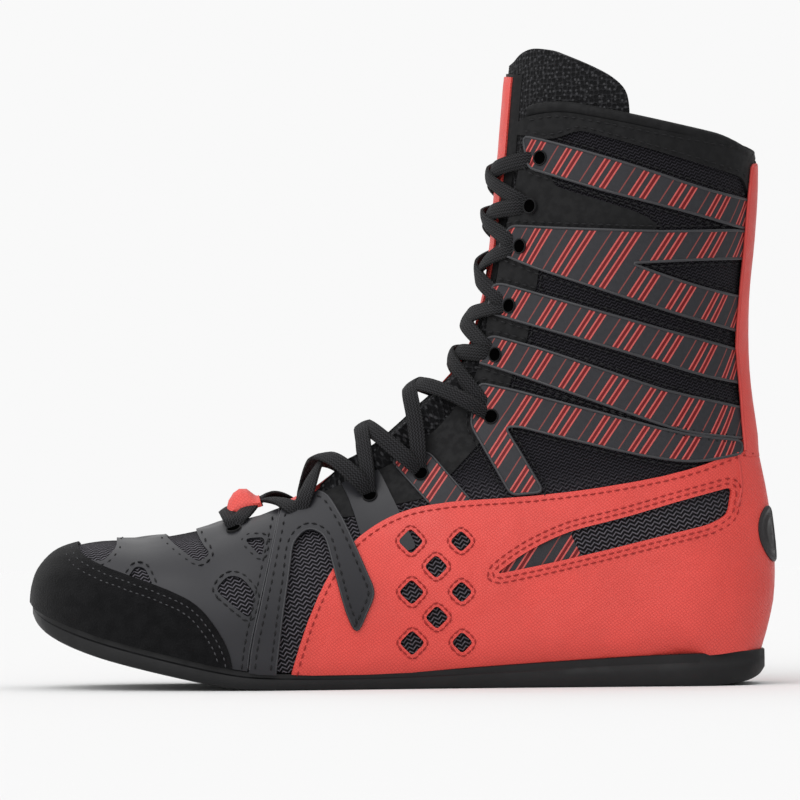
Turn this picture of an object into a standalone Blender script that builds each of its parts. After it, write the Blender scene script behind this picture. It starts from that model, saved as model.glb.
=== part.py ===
"""A high lace-up wrestling shoe for the left foot, in metres.

+X points to the toe, +Y to the outer side of the foot, +Z up. The floor is Z = 0, and the origin
is under the middle of the heel. Every curved piece is cut from one shape, the last.
"""

from collections import namedtuple
from math import cos, pi, sin

import bmesh
import bpy
from mathutils import Matrix, Vector

for old in list(bpy.data.objects):
    bpy.data.objects.remove(old)

# Driving dimensions
LENGTH = 0.285  # back of the heel to the tip of the toe
BALL_WIDTH = 0.098
HEEL_WIDTH = 0.067
SHAFT_WIDTH = 0.074
INSTEP_HEIGHT = 0.120  # floor to the bend of the ankle
LEG_HEIGHT = 0.080  # bend of the ankle to the back of the collar
HEEL_CENTRE = 0.034  # back of the heel to the origin

WALL = 0.002
CLEARANCE = 0.0003
OVERLAY = 0.0010  # thickness of the sewn-on panels
SINK = 0.0030  # how far the last goes on below the top of the sole

TONGUE_THICKNESS = 0.0035
TONGUE_STRIP_WIDTH = 0.015
TONGUE_STRIP_THICKNESS = 0.0008
INSOLE_THICKNESS = 0.0030
BINDING_HEIGHT = 0.0045
BINDING_THICKNESS = 0.0050

THROAT_HALF_GAP = 0.022  # at the top of the shaft
LACE_WIDTH = 0.0062
LACE_THICKNESS = 0.0013
LACE_LIFT = 0.0005  # room under the flat lengths of a bar
LOOP_WIDTH = 0.0090
LOOP_THICKNESS = 0.0016
LOOP_HEIGHT = 0.0050

SOLE_EDGE_RADIUS = 0.0016
SOLE_STEP = 0.0007
ARCH_RISE = 0.0030
GROOVE_DEPTH = 0.0012
GROOVE_WIDTH = 0.0024
GROOVE_PITCH = 0.0105
GROOVE_MARGIN = 0.0060
TREAD_MIDDLE = 0.650  # middle of the forefoot's tread, as a share of LENGTH

BADGE_RADIUS = 0.0095
BADGE_HEIGHT = 0.055
BADGE_THICKNESS = 0.0012

VENT_PITCH = 0.0190
VENT_LARGEST = 0.0135
VENT_SMALLEST = 0.0080
VENT_MARGIN = 0.0088  # middle of a vent to the edge of its panel

SIDE_STEPS = 8  # steps round each half of a section
LACE_STEPS = 5  # lengths in one bar of the lace

# A section runs from a low point, on the sole or up the back, to a high point, over the foot or up the
# front. Along is a share of LENGTH from the back of the heel. Level is a share of INSTEP_HEIGHT up to 1,
# and above that 1 and a share of LEG_HEIGHT. Middle and half are shares of the row's width. Widest is
# where the section is broadest, from low to high. Each power rounds its end: 2 is round, 6 is square.
Row = namedtuple(
    "Row", "low_along low_level high_along high_level middle half widest low_power high_power sunk"
)

FOREFOOT_ROWS = [
    Row(0.996, 0.225, 0.995, 0.322, -0.070, 0.035, 0.50, 2.0, 2.0, 0.0),
    Row(0.990, 0.200, 0.987, 0.375, -0.066, 0.150, 0.48, 2.4, 2.1, 0.1),
    Row(0.974, 0.185, 0.967, 0.427, -0.060, 0.250, 0.45, 3.2, 2.2, 0.5),
    Row(0.946, 0.172, 0.941, 0.453, -0.050, 0.330, 0.42, 4.2, 2.3, 1.0),
    Row(0.905, 0.152, 0.902, 0.469, -0.034, 0.400, 0.38, 5.0, 2.3, 1.0),
    Row(0.842, 0.117, 0.844, 0.473, -0.016, 0.456, 0.34, 6.0, 2.2, 1.0),
    Row(0.770, 0.074, 0.776, 0.499, 0.002, 0.488, 0.30, 7.0, 2.1, 1.0),
    Row(0.700, 0.049, 0.716, 0.541, 0.014, 0.490, 0.28, 7.0, 2.0, 1.0),
    Row(0.630, 0.046, 0.659, 0.596, 0.026, 0.462, 0.26, 7.0, 1.9, 1.0),
    Row(0.560, 0.047, 0.610, 0.656, 0.032, 0.420, 0.25, 7.0, 1.8, 1.0),
    Row(0.490, 0.051, 0.569, 0.714, 0.034, 0.380, 0.25, 7.0, 1.7, 1.0),
    Row(0.415, 0.064, 0.535, 0.773, 0.030, 0.354, 0.27, 6.5, 1.7, 1.0),
]
HEEL_ROWS = [
    Row(0.325, 0.076, 0.504, 0.834, 0.036, 0.506, 0.30, 6.0, 1.8, 1.0),
    Row(0.215, 0.091, 0.477, 0.894, 0.020, 0.500, 0.32, 6.0, 1.9, 1.0),
    Row(0.110, 0.096, 0.455, 0.948, 0.006, 0.500, 0.36, 4.8, 2.0, 1.0),
    Row(0.026, 0.070, 0.439, 1.000, 0.000, 0.508, 0.40, 3.4, 2.0, 0.8),
    Row(0.009, 0.225, 0.429, 1.046, 0.000, 0.515, 0.42, 2.7, 2.0, 0.0),
    Row(0.0045, 0.400, 0.420, 1.106, 0.000, 0.520, 0.44, 2.4, 2.0, 0.0),
    Row(0.0130, 0.590, 0.411, 1.182, 0.000, 0.528, 0.46, 2.2, 2.0, 0.0),
]
SHAFT_ROWS = [
    Row(0.029, 0.790, 0.403, 1.287, 0.000, 0.486, 0.48, 2.0, 2.0, 0.0),
    Row(0.040, 1.000, 0.393, 1.440, 0.000, 0.494, 0.49, 2.0, 1.9, 0.0),
    Row(0.040, 1.330, 0.383, 1.680, 0.000, 0.500, 0.50, 2.1, 1.9, 0.0),
    Row(0.032, 1.620, 0.376, 1.900, 0.000, 0.502, 0.50, 2.2, 1.9, 0.0),
    Row(0.027, 1.880, 0.367, 2.140, 0.000, 0.504, 0.50, 2.2, 1.9, 0.0),
    Row(0.028, 2.140, 0.357, 2.410, 0.000, 0.506, 0.50, 2.2, 1.9, 0.0),
    Row(0.033, 2.430, 0.348, 2.720, 0.000, 0.506, 0.50, 2.2, 1.9, 0.0),
]
ROWS = FOREFOOT_ROWS + HEEL_ROWS + SHAFT_ROWS
LAST_ROW = len(ROWS) - 1
TOE_BEND = (0, 5)  # the rows with sections halfway between them
ANKLE_BEND = (13, 18)

# The sole, from toe to heel. Levels are shares of INSTEP_HEIGHT, outer and inner are shares of the
# row's width, and arch is a share of ARCH_RISE on the inner side.
SoleRow = namedtuple("SoleRow", "along bottom top outer inner arch")
FORE_SOLE_ROWS = [
    SoleRow(0.997, 0.238, 0.272, 0.000, -0.130, 0.0),
    SoleRow(0.989, 0.206, 0.254, 0.096, -0.220, 0.0),
    SoleRow(0.972, 0.172, 0.232, 0.190, -0.300, 0.0),
    SoleRow(0.943, 0.137, 0.204, 0.278, -0.373, 0.0),
    SoleRow(0.902, 0.102, 0.172, 0.358, -0.426, 0.0),
    SoleRow(0.850, 0.069, 0.138, 0.425, -0.465, 0.0),
    SoleRow(0.790, 0.036, 0.102, 0.472, -0.484, 0.0),
    SoleRow(0.735, 0.010, 0.073, 0.494, -0.482, 0.0),
    SoleRow(0.690, 0.000, 0.058, 0.499, -0.468, 0.0),
    SoleRow(0.620, 0.000, 0.051, 0.482, -0.432, 0.1),
    SoleRow(0.550, 0.000, 0.051, 0.447, -0.382, 0.5),
    SoleRow(0.480, 0.000, 0.056, 0.411, -0.344, 0.9),
    SoleRow(0.410, 0.000, 0.066, 0.382, -0.324, 1.0),
]
HEEL_SOLE_ROWS = [
    SoleRow(0.330, 0.000, 0.078, 0.532, -0.474, 0.8),
    SoleRow(0.250, 0.000, 0.089, 0.515, -0.480, 0.2),
    SoleRow(0.180, 0.000, 0.098, 0.500, -0.487, 0.0),
    SoleRow(0.120, 0.000, 0.103, 0.476, -0.470, 0.0),
    SoleRow(0.080, 0.000, 0.106, 0.424, -0.422, 0.0),
    SoleRow(0.050, 0.000, 0.109, 0.340, -0.340, 0.0),
    SoleRow(0.032, 0.002, 0.111, 0.236, -0.236, 0.0),
    SoleRow(0.022, 0.006, 0.112, 0.110, -0.110, 0.0),
]

# Outlines in the side view, as (along, level)
TOE_CAP_EDGE = [
    (0.945, 0.600), (0.937, 0.468), (0.929, 0.426), (0.902, 0.390), (0.866, 0.360), (0.809, 0.314),
    (0.771, 0.271), (0.745, 0.197), (0.729, 0.126), (0.720, 0.000),
]
VAMP_BACK_EDGE = [(0.708, 0.000), (0.704, 0.120), (0.682, 0.345), (0.663, 0.545), (0.655, 0.640)]
VAMP_WINDOWS = [
    [(0.960, 0.420), (0.925, 0.411), (0.897, 0.400), (0.879, 0.448), (0.900, 0.560), (0.960, 0.560)],
    [(0.830, 0.560), (0.823, 0.490), (0.793, 0.432), (0.769, 0.396), (0.754, 0.427), (0.765, 0.453),
     (0.790, 0.560)],
    [(0.870, 0.330), (0.854, 0.389), (0.841, 0.382), (0.824, 0.300)],
    [(0.748, 0.316), (0.731, 0.360), (0.713, 0.353), (0.694, 0.301), (0.702, 0.225), (0.720, 0.257)],
]
STRAP = [
    (0.706, 0.000), (0.702, 0.122), (0.680, 0.347), (0.659, 0.567), (0.625, 0.615), (0.600, 0.612),
    (0.578, 0.530), (0.536, 0.299), (0.548, 0.240), (0.562, 0.165), (0.577, 0.240), (0.603, 0.480),
    (0.625, 0.500), (0.645, 0.456), (0.649, 0.376), (0.660, 0.217), (0.671, 0.000),
]
SHAFT_BANDS = [
    [(0.332, 2.117), (0.304, 2.091), (0.204, 1.986), (0.090, 1.846), (0.046, 1.795), (0.051, 1.668),
     (0.072, 1.676), (0.133, 1.762), (0.233, 1.853), (0.325, 1.963)],
    [(0.349, 1.691), (0.290, 1.674), (0.149, 1.652), (0.077, 1.664), (0.054, 1.655), (0.058, 1.532),
     (0.091, 1.525), (0.195, 1.506), (0.150, 1.446), (0.099, 1.386), (0.064, 1.340), (0.064, 1.172),
     (0.133, 1.263), (0.212, 1.358), (0.319, 1.488), (0.358, 1.553), (0.364, 1.591)],
    [(0.372, 1.410), (0.361, 1.414), (0.263, 1.308), (0.151, 1.188), (0.065, 1.082), (0.062, 0.952),
     (0.094, 0.976), (0.151, 1.030), (0.264, 1.155), (0.356, 1.251), (0.380, 1.281)],
    [(0.376, 1.170), (0.320, 1.115), (0.208, 0.983), (0.152, 0.934), (0.062, 0.872), (0.059, 0.778),
     (0.123, 0.798), (0.208, 0.875), (0.321, 0.971), (0.362, 1.007), (0.408, 1.057)],
    [(0.398, 0.932), (0.391, 0.961), (0.349, 0.940), (0.237, 0.869), (0.123, 0.792), (0.072, 0.772),
     (0.072, 0.732), (0.110, 0.704), (0.181, 0.730), (0.294, 0.795), (0.342, 0.825), (0.361, 0.822),
     (0.311, 0.616), (0.354, 0.606), (0.406, 0.827)],
]
QUARTER = [
    (-0.100, 0.770), (0.048, 0.746), (0.095, 0.700), (0.153, 0.663), (0.238, 0.628), (0.323, 0.602),
    (0.435, 0.586), (0.486, 0.566), (0.525, 0.529), (0.566, 0.463), (0.599, 0.359), (0.627, 0.216),
    (0.655, 0.000), (-0.100, 0.000),
]
QUARTER_WINDOW = [
    (0.062, 0.628), (0.136, 0.583), (0.196, 0.540), (0.278, 0.492), (0.317, 0.451), (0.347, 0.411),
    (0.376, 0.358), (0.318, 0.384), (0.227, 0.433), (0.166, 0.469), (0.091, 0.511), (0.068, 0.542),
]
VENT_BACK = 0.400
BACKSTAY = [
    (-0.100, 1.900), (0.018, 1.968), (0.034, 1.985), (0.041, 1.773), (0.045, 1.591), (0.053, 1.318),
    (0.058, 1.103), (0.053, 0.960), (0.049, 0.755), (-0.100, 0.780),
]
COLLAR_LINE = [
    (0.600, 1.700), (0.366, 2.060), (0.350, 2.185), (0.329, 2.247), (0.300, 2.265), (0.273, 2.263),
    (0.195, 2.207), (0.129, 2.155), (0.069, 2.109), (0.039, 2.060), (0.020, 2.020), (-0.200, 1.900),
]
COLLAR_PANEL = [
    (0.350, 2.125), (0.340, 2.180), (0.328, 2.207), (0.300, 2.225), (0.273, 2.223), (0.195, 2.167),
    (0.129, 2.115), (0.069, 2.069), (0.046, 2.033), (0.046, 1.815), (0.060, 1.825), (0.070, 1.918),
    (0.159, 2.038), (0.261, 2.140), (0.285, 2.105), (0.304, 2.096), (0.330, 2.122),
]
TONGUE = [
    (0.420, 2.560), (0.345, 2.536), (0.316, 2.540), (0.248, 2.446), (0.218, 2.392), (0.197, 2.328),
    (0.192, 2.200), (0.230, 1.700), (0.290, 1.150), (0.345, 0.860), (0.430, 0.690), (0.560, 0.520),
    (0.665, 0.440), (0.722, 0.420), (0.750, 0.600), (0.520, 1.100),
]
STRIP_START, STRIP_END = 8.0, 24.0

# Where the throat runs, by the number of the row, and its half gap as a share of THROAT_HALF_GAP
THROAT = [
    (6.70, 0.45), (6.80, 0.60), (7.00, 0.68), (8.30, 0.68), (9.80, 0.60), (11.30, 0.68), (13.00, 0.72),
    (15.00, 0.70), (17.80, 0.75), (19.60, 0.72), (20.70, 0.78), (21.70, 0.90), (22.60, 0.97), (25.00, 1.05),
]
# The lace holes of one side, placed in the same way
LACE_HOLES = [
    (6.86, 0.96), (8.38, 1.05), (10.30, 0.92), (11.90, 0.98), (14.92, 1.02),
    (17.80, 0.94), (19.60, 1.05), (20.84, 1.11), (21.68, 1.19), (22.66, 1.25),
]
LOOP_ROWS = [6.38, 6.52, 6.66, 6.80, 6.94, 7.06]
LOOP_RISE = [0.00, 0.55, 0.90, 1.00, 0.60, 0.00]  # shares of LOOP_HEIGHT


def place(along, level):
    """The X and Z of a point of the side view."""
    if level < 1:
        return along * LENGTH - HEEL_CENTRE, level * INSTEP_HEIGHT
    return along * LENGTH - HEEL_CENTRE, INSTEP_HEIGHT + (level - 1) * LEG_HEIGHT


def row_width(number):
    """The width that a row's shares are taken of."""
    if number < len(FOREFOOT_ROWS):
        return BALL_WIDTH
    if number < len(FOREFOOT_ROWS) + len(HEEL_ROWS):
        return HEEL_WIDTH
    return SHAFT_WIDTH


def real_row(number):
    """A row of the tables in metres."""
    row = ROWS[number]
    width = row_width(number)
    low_x, low_z = place(row.low_along, row.low_level)
    high_x, high_z = place(row.high_along, row.high_level)
    shape = [row.widest, row.low_power, row.high_power]
    return [low_x, low_z - row.sunk * SINK, high_x, high_z, row.middle * width, row.half * width] + shape


REAL_ROWS = [real_row(number) for number in range(len(ROWS))]


def between(before, start, end, after, share):
    """A smooth curve through four numbers, at a share of the way from the second to the third."""
    rise = end - before
    fall = after - start
    square = share * share
    cube = square * share
    return (
        start * (2 * cube - 3 * square + 1)
        + end * (3 * square - 2 * cube)
        + rise * 0.5 * (cube - 2 * square + share)
        + fall * 0.5 * (cube - square)
    )


def section(place_in_rows):
    """The section's values at a row's number, whole or not."""
    place_in_rows = min(max(place_in_rows, 0.0), float(LAST_ROW))
    first = min(int(place_in_rows), LAST_ROW - 1)
    numbers = [max(first - 1, 0), first, first + 1, min(first + 2, LAST_ROW)]
    share = place_in_rows - first
    return [between(*values, share) for values in zip(*(REAL_ROWS[n] for n in numbers))]


def last_point(place_in_rows, turn):
    """A point of the last. Turn goes from 0 at the low point, round the outer side, to 1 at the high one."""
    low_x, low_z, high_x, high_z, middle, half, widest, low_power, high_power = section(place_in_rows)
    side = 1 if turn >= 0 else -1
    angle = abs(turn) * pi
    if angle <= pi / 2:
        out = sin(angle) ** (2 / low_power)
        up = widest * (1 - max(cos(angle), 0.0) ** (2 / low_power))
    else:
        out = max(sin(angle), 0.0) ** (2 / high_power)
        up = widest + (1 - widest) * (-cos(angle)) ** (2 / high_power)
    x = low_x + (high_x - low_x) * up
    z = low_z + (high_z - low_z) * up
    return Vector((x, middle + side * half * out, z))


def last_normal(place_in_rows, turn):
    """The direction straight out of the last."""
    step = 0.02
    inside = min(max(place_in_rows, step), LAST_ROW - step)
    ahead = last_point(inside - step, turn) - last_point(inside + step, turn)
    across = last_point(inside, turn + step) - last_point(inside, turn - step)
    if abs(turn) > 1 - step:
        across = Vector((0, -1, 0))
    if abs(turn) < step:
        across = Vector((0, 1, 0))
    return across.cross(ahead).normalized()


def on_last(place_in_rows, turn, offset):
    """A point at a distance out from the last."""
    return last_point(place_in_rows, turn) + last_normal(place_in_rows, turn) * offset


def loft(name, rings):
    """A closed mesh through rings of as many points each, with flat ends.

    Its quads are split the same way each time, so that two offsets of one form stay parallel.
    """
    mesh = bpy.data.meshes.new(name)
    form = bmesh.new()
    loops = [[form.verts.new(point) for point in ring] for ring in rings]
    for ring, following in zip(loops, loops[1:]):
        for number in range(len(ring)):
            after = (number + 1) % len(ring)
            form.faces.new((ring[number], ring[after], following[after]))
            form.faces.new((ring[number], following[after], following[number]))
    form.faces.new(loops[0])
    form.faces.new(loops[-1])
    bmesh.ops.recalc_face_normals(form, faces=form.faces)
    form.to_mesh(mesh)
    form.free()
    return mesh


def ring_places():
    """Where the last has its sections, as row numbers: closer at the toe and round the ankle."""
    places = set(range(LAST_ROW + 1))
    for first, last in (TOE_BEND, ANKLE_BEND):
        places.update(number + 0.5 for number in range(first, last))
    return sorted(float(spot) for spot in places)


def last_mesh(name, offset):
    """The whole last, grown or shrunk by an offset."""
    turns = [number / SIDE_STEPS for number in range(SIDE_STEPS + 1)]
    turns += [-number / SIDE_STEPS for number in range(SIDE_STEPS - 1, 0, -1)]
    return loft(name, [[on_last(spot, turn, offset) for turn in turns] for spot in ring_places()])


def prism(name, outline, from_y, to_y):
    """An outline of the side view, given in metres, drawn out across the shoe."""
    mesh = bpy.data.meshes.new(name)
    form = bmesh.new()
    face = form.faces.new([form.verts.new((x, from_y, z)) for x, z in outline])
    drawn = bmesh.ops.extrude_face_region(form, geom=[face])
    moved = [item for item in drawn["geom"] if isinstance(item, bmesh.types.BMVert)]
    bmesh.ops.translate(form, vec=(0, to_y - from_y, 0), verts=moved)
    bmesh.ops.recalc_face_normals(form, faces=form.faces)
    form.to_mesh(mesh)
    form.free()
    return mesh


def placed(outline):
    return [place(along, level) for along, level in outline]


shoe = bpy.data.collections.new("wrestling_shoe")
cutters = bpy.data.collections.new("cutters")
bpy.context.scene.collection.children.link(shoe)
bpy.context.scene.collection.children.link(cutters)


def finish(name, colour, roughness):
    """A plain material of one colour."""
    material = bpy.data.materials.new(name)
    material.use_nodes = True
    shader = material.node_tree.nodes["Principled BSDF"]
    shader.inputs["Base Color"].default_value = (*colour, 1.0)
    shader.inputs["Roughness"].default_value = roughness
    shader.inputs["Metallic"].default_value = 0.0
    return material


def piece(name, mesh, colour, roughness):
    """A sub-part of the shoe."""
    item = bpy.data.objects.new(name, mesh)
    item.data.materials.clear()
    item.data.materials.append(finish(name, colour, roughness))
    shoe.objects.link(item)
    return item


def cutter(name, mesh):
    """A shape that only cuts others."""
    item = bpy.data.objects.new(name, mesh)
    item.hide_render = True
    item.display_type = "WIRE"
    cutters.objects.link(item)
    return item


def combine(item, other, operation):
    """Adds one Boolean to a piece."""
    step = item.modifiers.new(other.name, "BOOLEAN")
    step.operation = operation
    step.object = other
    step.solver = "EXACT"


def settled(item):
    """The mesh of a cutter with its Booleans worked out."""
    bpy.context.view_layer.update()
    graph = bpy.context.evaluated_depsgraph_get()
    mesh = bpy.data.meshes.new_from_object(item.evaluated_get(graph))
    for step in list(item.modifiers):
        item.modifiers.remove(step)
    item.data = mesh
    return item


BLACK = (0.012, 0.012, 0.014)
CHARCOAL = (0.055, 0.055, 0.062)
RED = (0.70, 0.065, 0.050)
REACH = BALL_WIDTH  # past the sides of the shoe


def sole_top_outline(lift):
    """The line of the sole's top, raised, with room below it to cut away."""
    rows = FORE_SOLE_ROWS + HEEL_SOLE_ROWS
    line = [place(row.along, row.top) for row in rows]
    line = [(x, z + lift) for x, z in line]
    toe = (line[0][0] + REACH, line[0][1] + REACH * 0.5)
    heel = (line[-1][0] - REACH, line[-1][1])
    return [toe] + line + [heel, (heel[0], -REACH), (toe[0], -REACH)]


below_sole_top = cutter(
    "below_sole_top", prism("below_sole_top", sole_top_outline(CLEARANCE), -REACH, REACH)
)


def throat_ring(spot, share, margin):
    """A box across the front of the last, for the throat and what runs beside it."""
    half = THROAT_HALF_GAP * share + margin
    front = last_point(spot, 1.0)
    out = last_normal(spot, 1.0)
    deep = front - out * THROAT_HALF_GAP
    high = front + out * THROAT_HALF_GAP
    across = Vector((0, half, 0))
    return [deep - across, deep + across, high + across, high - across]


def throat_mesh(name, margin):
    return loft(name, [throat_ring(spot, share, margin) for spot, share in THROAT])


throat = cutter("throat", throat_mesh("throat", 0))
wide_throat = cutter("wide_throat", throat_mesh("wide_throat", CLEARANCE))


def collar_outline(drop):
    """Everything above the collar's line."""
    line = [(x, z - drop) for x, z in placed(COLLAR_LINE)]
    return line + [(line[-1][0], line[0][1] + LENGTH), (line[0][0], line[0][1] + LENGTH)]


above_collar = cutter(
    "above_collar", prism("above_collar", collar_outline(BINDING_HEIGHT / 2 + CLEARANCE), -REACH, REACH)
)


def make_upper():
    upper = piece("upper", last_mesh("upper", 0), BLACK, 0.85)
    combine(upper, cutter("inside_of_upper", last_mesh("inside_of_upper", -WALL)), "DIFFERENCE")
    combine(upper, below_sole_top, "DIFFERENCE")
    combine(upper, above_collar, "DIFFERENCE")
    combine(upper, throat, "DIFFERENCE")
    return upper


def sole_ring(row, width):
    """A section across the sole, from the middle of its bottom round the outer side."""
    x, bottom = place(row.along, row.bottom)
    top = place(row.along, row.top)[1]
    radius = min(SOLE_EDGE_RADIUS, (top - bottom) * 0.4)
    ring = []
    for edge, lift in ((row.outer * width, 0.0), (row.inner * width, row.arch * ARCH_RISE)):
        inward = -1 if edge > (row.outer + row.inner) * width / 2 else 1
        half = abs(row.outer - row.inner) * width / 2
        radius_in = min(radius, half * 0.3)
        step = min(SOLE_STEP, half * 0.1)
        ring.append([
            Vector((x, edge + inward * half * 0.5, bottom)),
            Vector((x, edge + inward * radius_in, bottom + lift)),
            Vector((x, edge, bottom + lift + radius)),
            Vector((x, edge, bottom + (top - bottom) * 0.62 + lift * 0.3)),
            Vector((x, edge + inward * step, bottom + (top - bottom) * 0.70 + lift * 0.2)),
            Vector((x, edge + inward * step, top)),
        ])
    return ring[0] + ring[1][::-1]


def sole_grooves():
    """The grooves of the tread, across the forefoot and the heel, with a plain rib at each middle."""
    form = bmesh.new()
    for middle, before, behind, rows, width in (
        (TREAD_MIDDLE * LENGTH - HEEL_CENTRE, 3, 4, FORE_SOLE_ROWS, BALL_WIDTH),
        (0.0, 4, 2, HEEL_SOLE_ROWS, HEEL_WIDTH),
    ):
        for number in range(-behind, before):
            x = middle + (number + 0.5) * GROOVE_PITCH
            row = min(rows, key=lambda each: abs(place(each.along, 0)[0] - x))
            outer = row.outer * width - GROOVE_MARGIN
            inner = row.inner * width + GROOVE_MARGIN + row.arch * ARCH_RISE
            made = bmesh.ops.create_cube(form, size=1.0)
            bmesh.ops.scale(form, vec=(GROOVE_WIDTH, outer - inner, 2 * GROOVE_DEPTH), verts=made["verts"])
            bmesh.ops.translate(form, vec=(x, (outer + inner) / 2, 0), verts=made["verts"])
    mesh = bpy.data.meshes.new("grooves")
    form.to_mesh(mesh)
    form.free()
    return mesh


def make_outsole():
    rings = [sole_ring(row, BALL_WIDTH) for row in FORE_SOLE_ROWS]
    rings += [sole_ring(row, HEEL_WIDTH) for row in HEEL_SOLE_ROWS]
    outsole = piece("outsole", loft("outsole", rings), BLACK, 0.55)
    combine(outsole, cutter("grooves", sole_grooves()), "DIFFERENCE")
    return outsole


def make_insole():
    insole = piece("insole", last_mesh("insole", -WALL - CLEARANCE), CHARCOAL, 0.9)
    combine(insole, below_sole_top, "DIFFERENCE")
    line = sole_top_outline(CLEARANCE + INSOLE_THICKNESS)
    top = [(x, z) for x, z in line[:-2]]
    top += [(top[-1][0], LENGTH), (top[0][0], LENGTH)]
    combine(insole, cutter("above_insole", prism("above_insole", top, -REACH, REACH)), "DIFFERENCE")
    return insole


def shell(name, outer, inner):
    """A cutter that is a skin between two offsets of the last."""
    item = cutter(name, last_mesh(name, outer))
    combine(item, cutter(name + "_core", last_mesh(name + "_core", inner)), "DIFFERENCE")
    return item


def make_tongue():
    outer = -WALL - CLEARANCE
    tongue = piece("tongue", last_mesh("tongue", outer), BLACK, 0.9)
    side = cutter("tongue_side", prism("tongue_side", placed(TONGUE), -REACH, REACH))
    combine(tongue, side, "INTERSECT")
    core = cutter("tongue_core", last_mesh("tongue_core", outer - TONGUE_THICKNESS))
    combine(tongue, core, "DIFFERENCE")
    return tongue


def turn_at(spot, width):
    """How far round the last a point lies at a distance from the middle, near the front."""
    low, high = 0.5, 1.0
    for _ in range(30):
        middle = (low + high) / 2
        if last_point(spot, middle).y - last_point(spot, 1.0).y > width:
            low = middle
        else:
            high = middle
    return low


def make_tongue_strip():
    """The band down the front of the tongue."""
    base = CLEARANCE - WALL
    rings = []
    for spot in ring_places():
        if STRIP_START <= spot <= STRIP_END:
            edge = turn_at(spot, TONGUE_STRIP_WIDTH / 2)
            low = [on_last(spot, turn, base) for turn in (edge, 1.0, -edge)]
            high = [on_last(spot, turn, base + TONGUE_STRIP_THICKNESS) for turn in (-edge, 1.0, edge)]
            rings.append(low + high)
    return piece("tongue_strip", loft("tongue_strip", rings), RED, 0.6)


panel_skin = shell("panel_skin", CLEARANCE + OVERLAY, CLEARANCE)
combine(panel_skin, below_sole_top, "DIFFERENCE")
settled(panel_skin)


def grown(outline, margin):
    """An outline pushed out by a margin."""
    area = sum(a[0] * b[1] - b[0] * a[1] for a, b in zip(outline, outline[1:] + outline[:1]))
    turn = 1 if area > 0 else -1
    pushed = []
    for before, point, after in zip(outline[-1:] + outline[:-1], outline, outline[1:] + outline[:1]):
        first = Vector((point[0] - before[0], point[1] - before[1])).normalized()
        second = Vector((after[0] - point[0], after[1] - point[1])).normalized()
        out = Vector((first.y + second.y, -first.x - second.x)).normalized() * turn
        lean = max(0.4, out.dot(Vector((first.y, -first.x)) * turn))
        pushed.append((point[0] + out.x * margin / lean, point[1] + out.y * margin / lean))
    return pushed


SIDES = {"outer": (0.0, REACH), "inner": (-REACH, 0.0), "both": (-REACH, REACH)}


def panel(name, outline, side, colour, roughness):
    """A sewn-on panel, cut from the skin by its outline in the side view."""
    item = piece(name, panel_skin.data.copy(), colour, roughness)
    shape = cutter(name + "_outline", prism(name + "_outline", placed(outline), *SIDES[side]))
    combine(item, shape, "INTERSECT")
    return item


def joined_prisms(name, outlines):
    """Several outlines drawn out right across the shoe, as one cutter."""
    form = bmesh.new()
    for outline in outlines:
        mesh = prism(name, outline, -REACH, REACH)
        form.from_mesh(mesh)
        bpy.data.meshes.remove(mesh)
    mesh = bpy.data.meshes.new(name)
    form.to_mesh(mesh)
    form.free()
    return mesh


def edge_distance(point, outline):
    """How far a point lies inside an outline, and less than nothing outside it."""
    nearest = LENGTH
    inside = False
    for (x1, z1), (x2, z2) in zip(outline, outline[1:] + outline[:1]):
        run, rise = x2 - x1, z2 - z1
        share = ((point[0] - x1) * run + (point[1] - z1) * rise) / (run * run + rise * rise)
        share = min(max(share, 0.0), 1.0)
        gap = Vector((point[0] - x1 - run * share, point[1] - z1 - rise * share)).length
        nearest = min(nearest, gap)
        if (z1 > point[1]) != (z2 > point[1]) and point[0] < x1 + run * (point[1] - z1) / rise:
            inside = not inside
    return nearest if inside else -nearest


def vents():
    """Staggered diamonds, the largest toward the toe."""
    quarter = placed(QUARTER)
    strap = placed(STRAP)
    window = placed(QUARTER_WINDOW)
    front = max(x for x, z in quarter)
    back = place(VENT_BACK, 0)[0]
    sole = place(0, FORE_SOLE_ROWS[-1].top)[1]
    diamonds = []
    line = 1
    while line * VENT_PITCH / 2 < INSTEP_HEIGHT / 2:
        z = sole + line * VENT_PITCH / 2
        x = front - VENT_PITCH / 2 * (line % 2)
        while x > back:
            size = VENT_SMALLEST + (VENT_LARGEST - VENT_SMALLEST) * (x - back) / (front - back)
            clear = min(edge_distance((x, z), quarter), -edge_distance((x, z), strap))
            if min(clear, -edge_distance((x, z), window)) > VENT_MARGIN:
                diamonds.append([(x + size / 2, z), (x, z + size / 2), (x - size / 2, z), (x, z - size / 2)])
            x -= VENT_PITCH
        line += 1
    return diamonds


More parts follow.
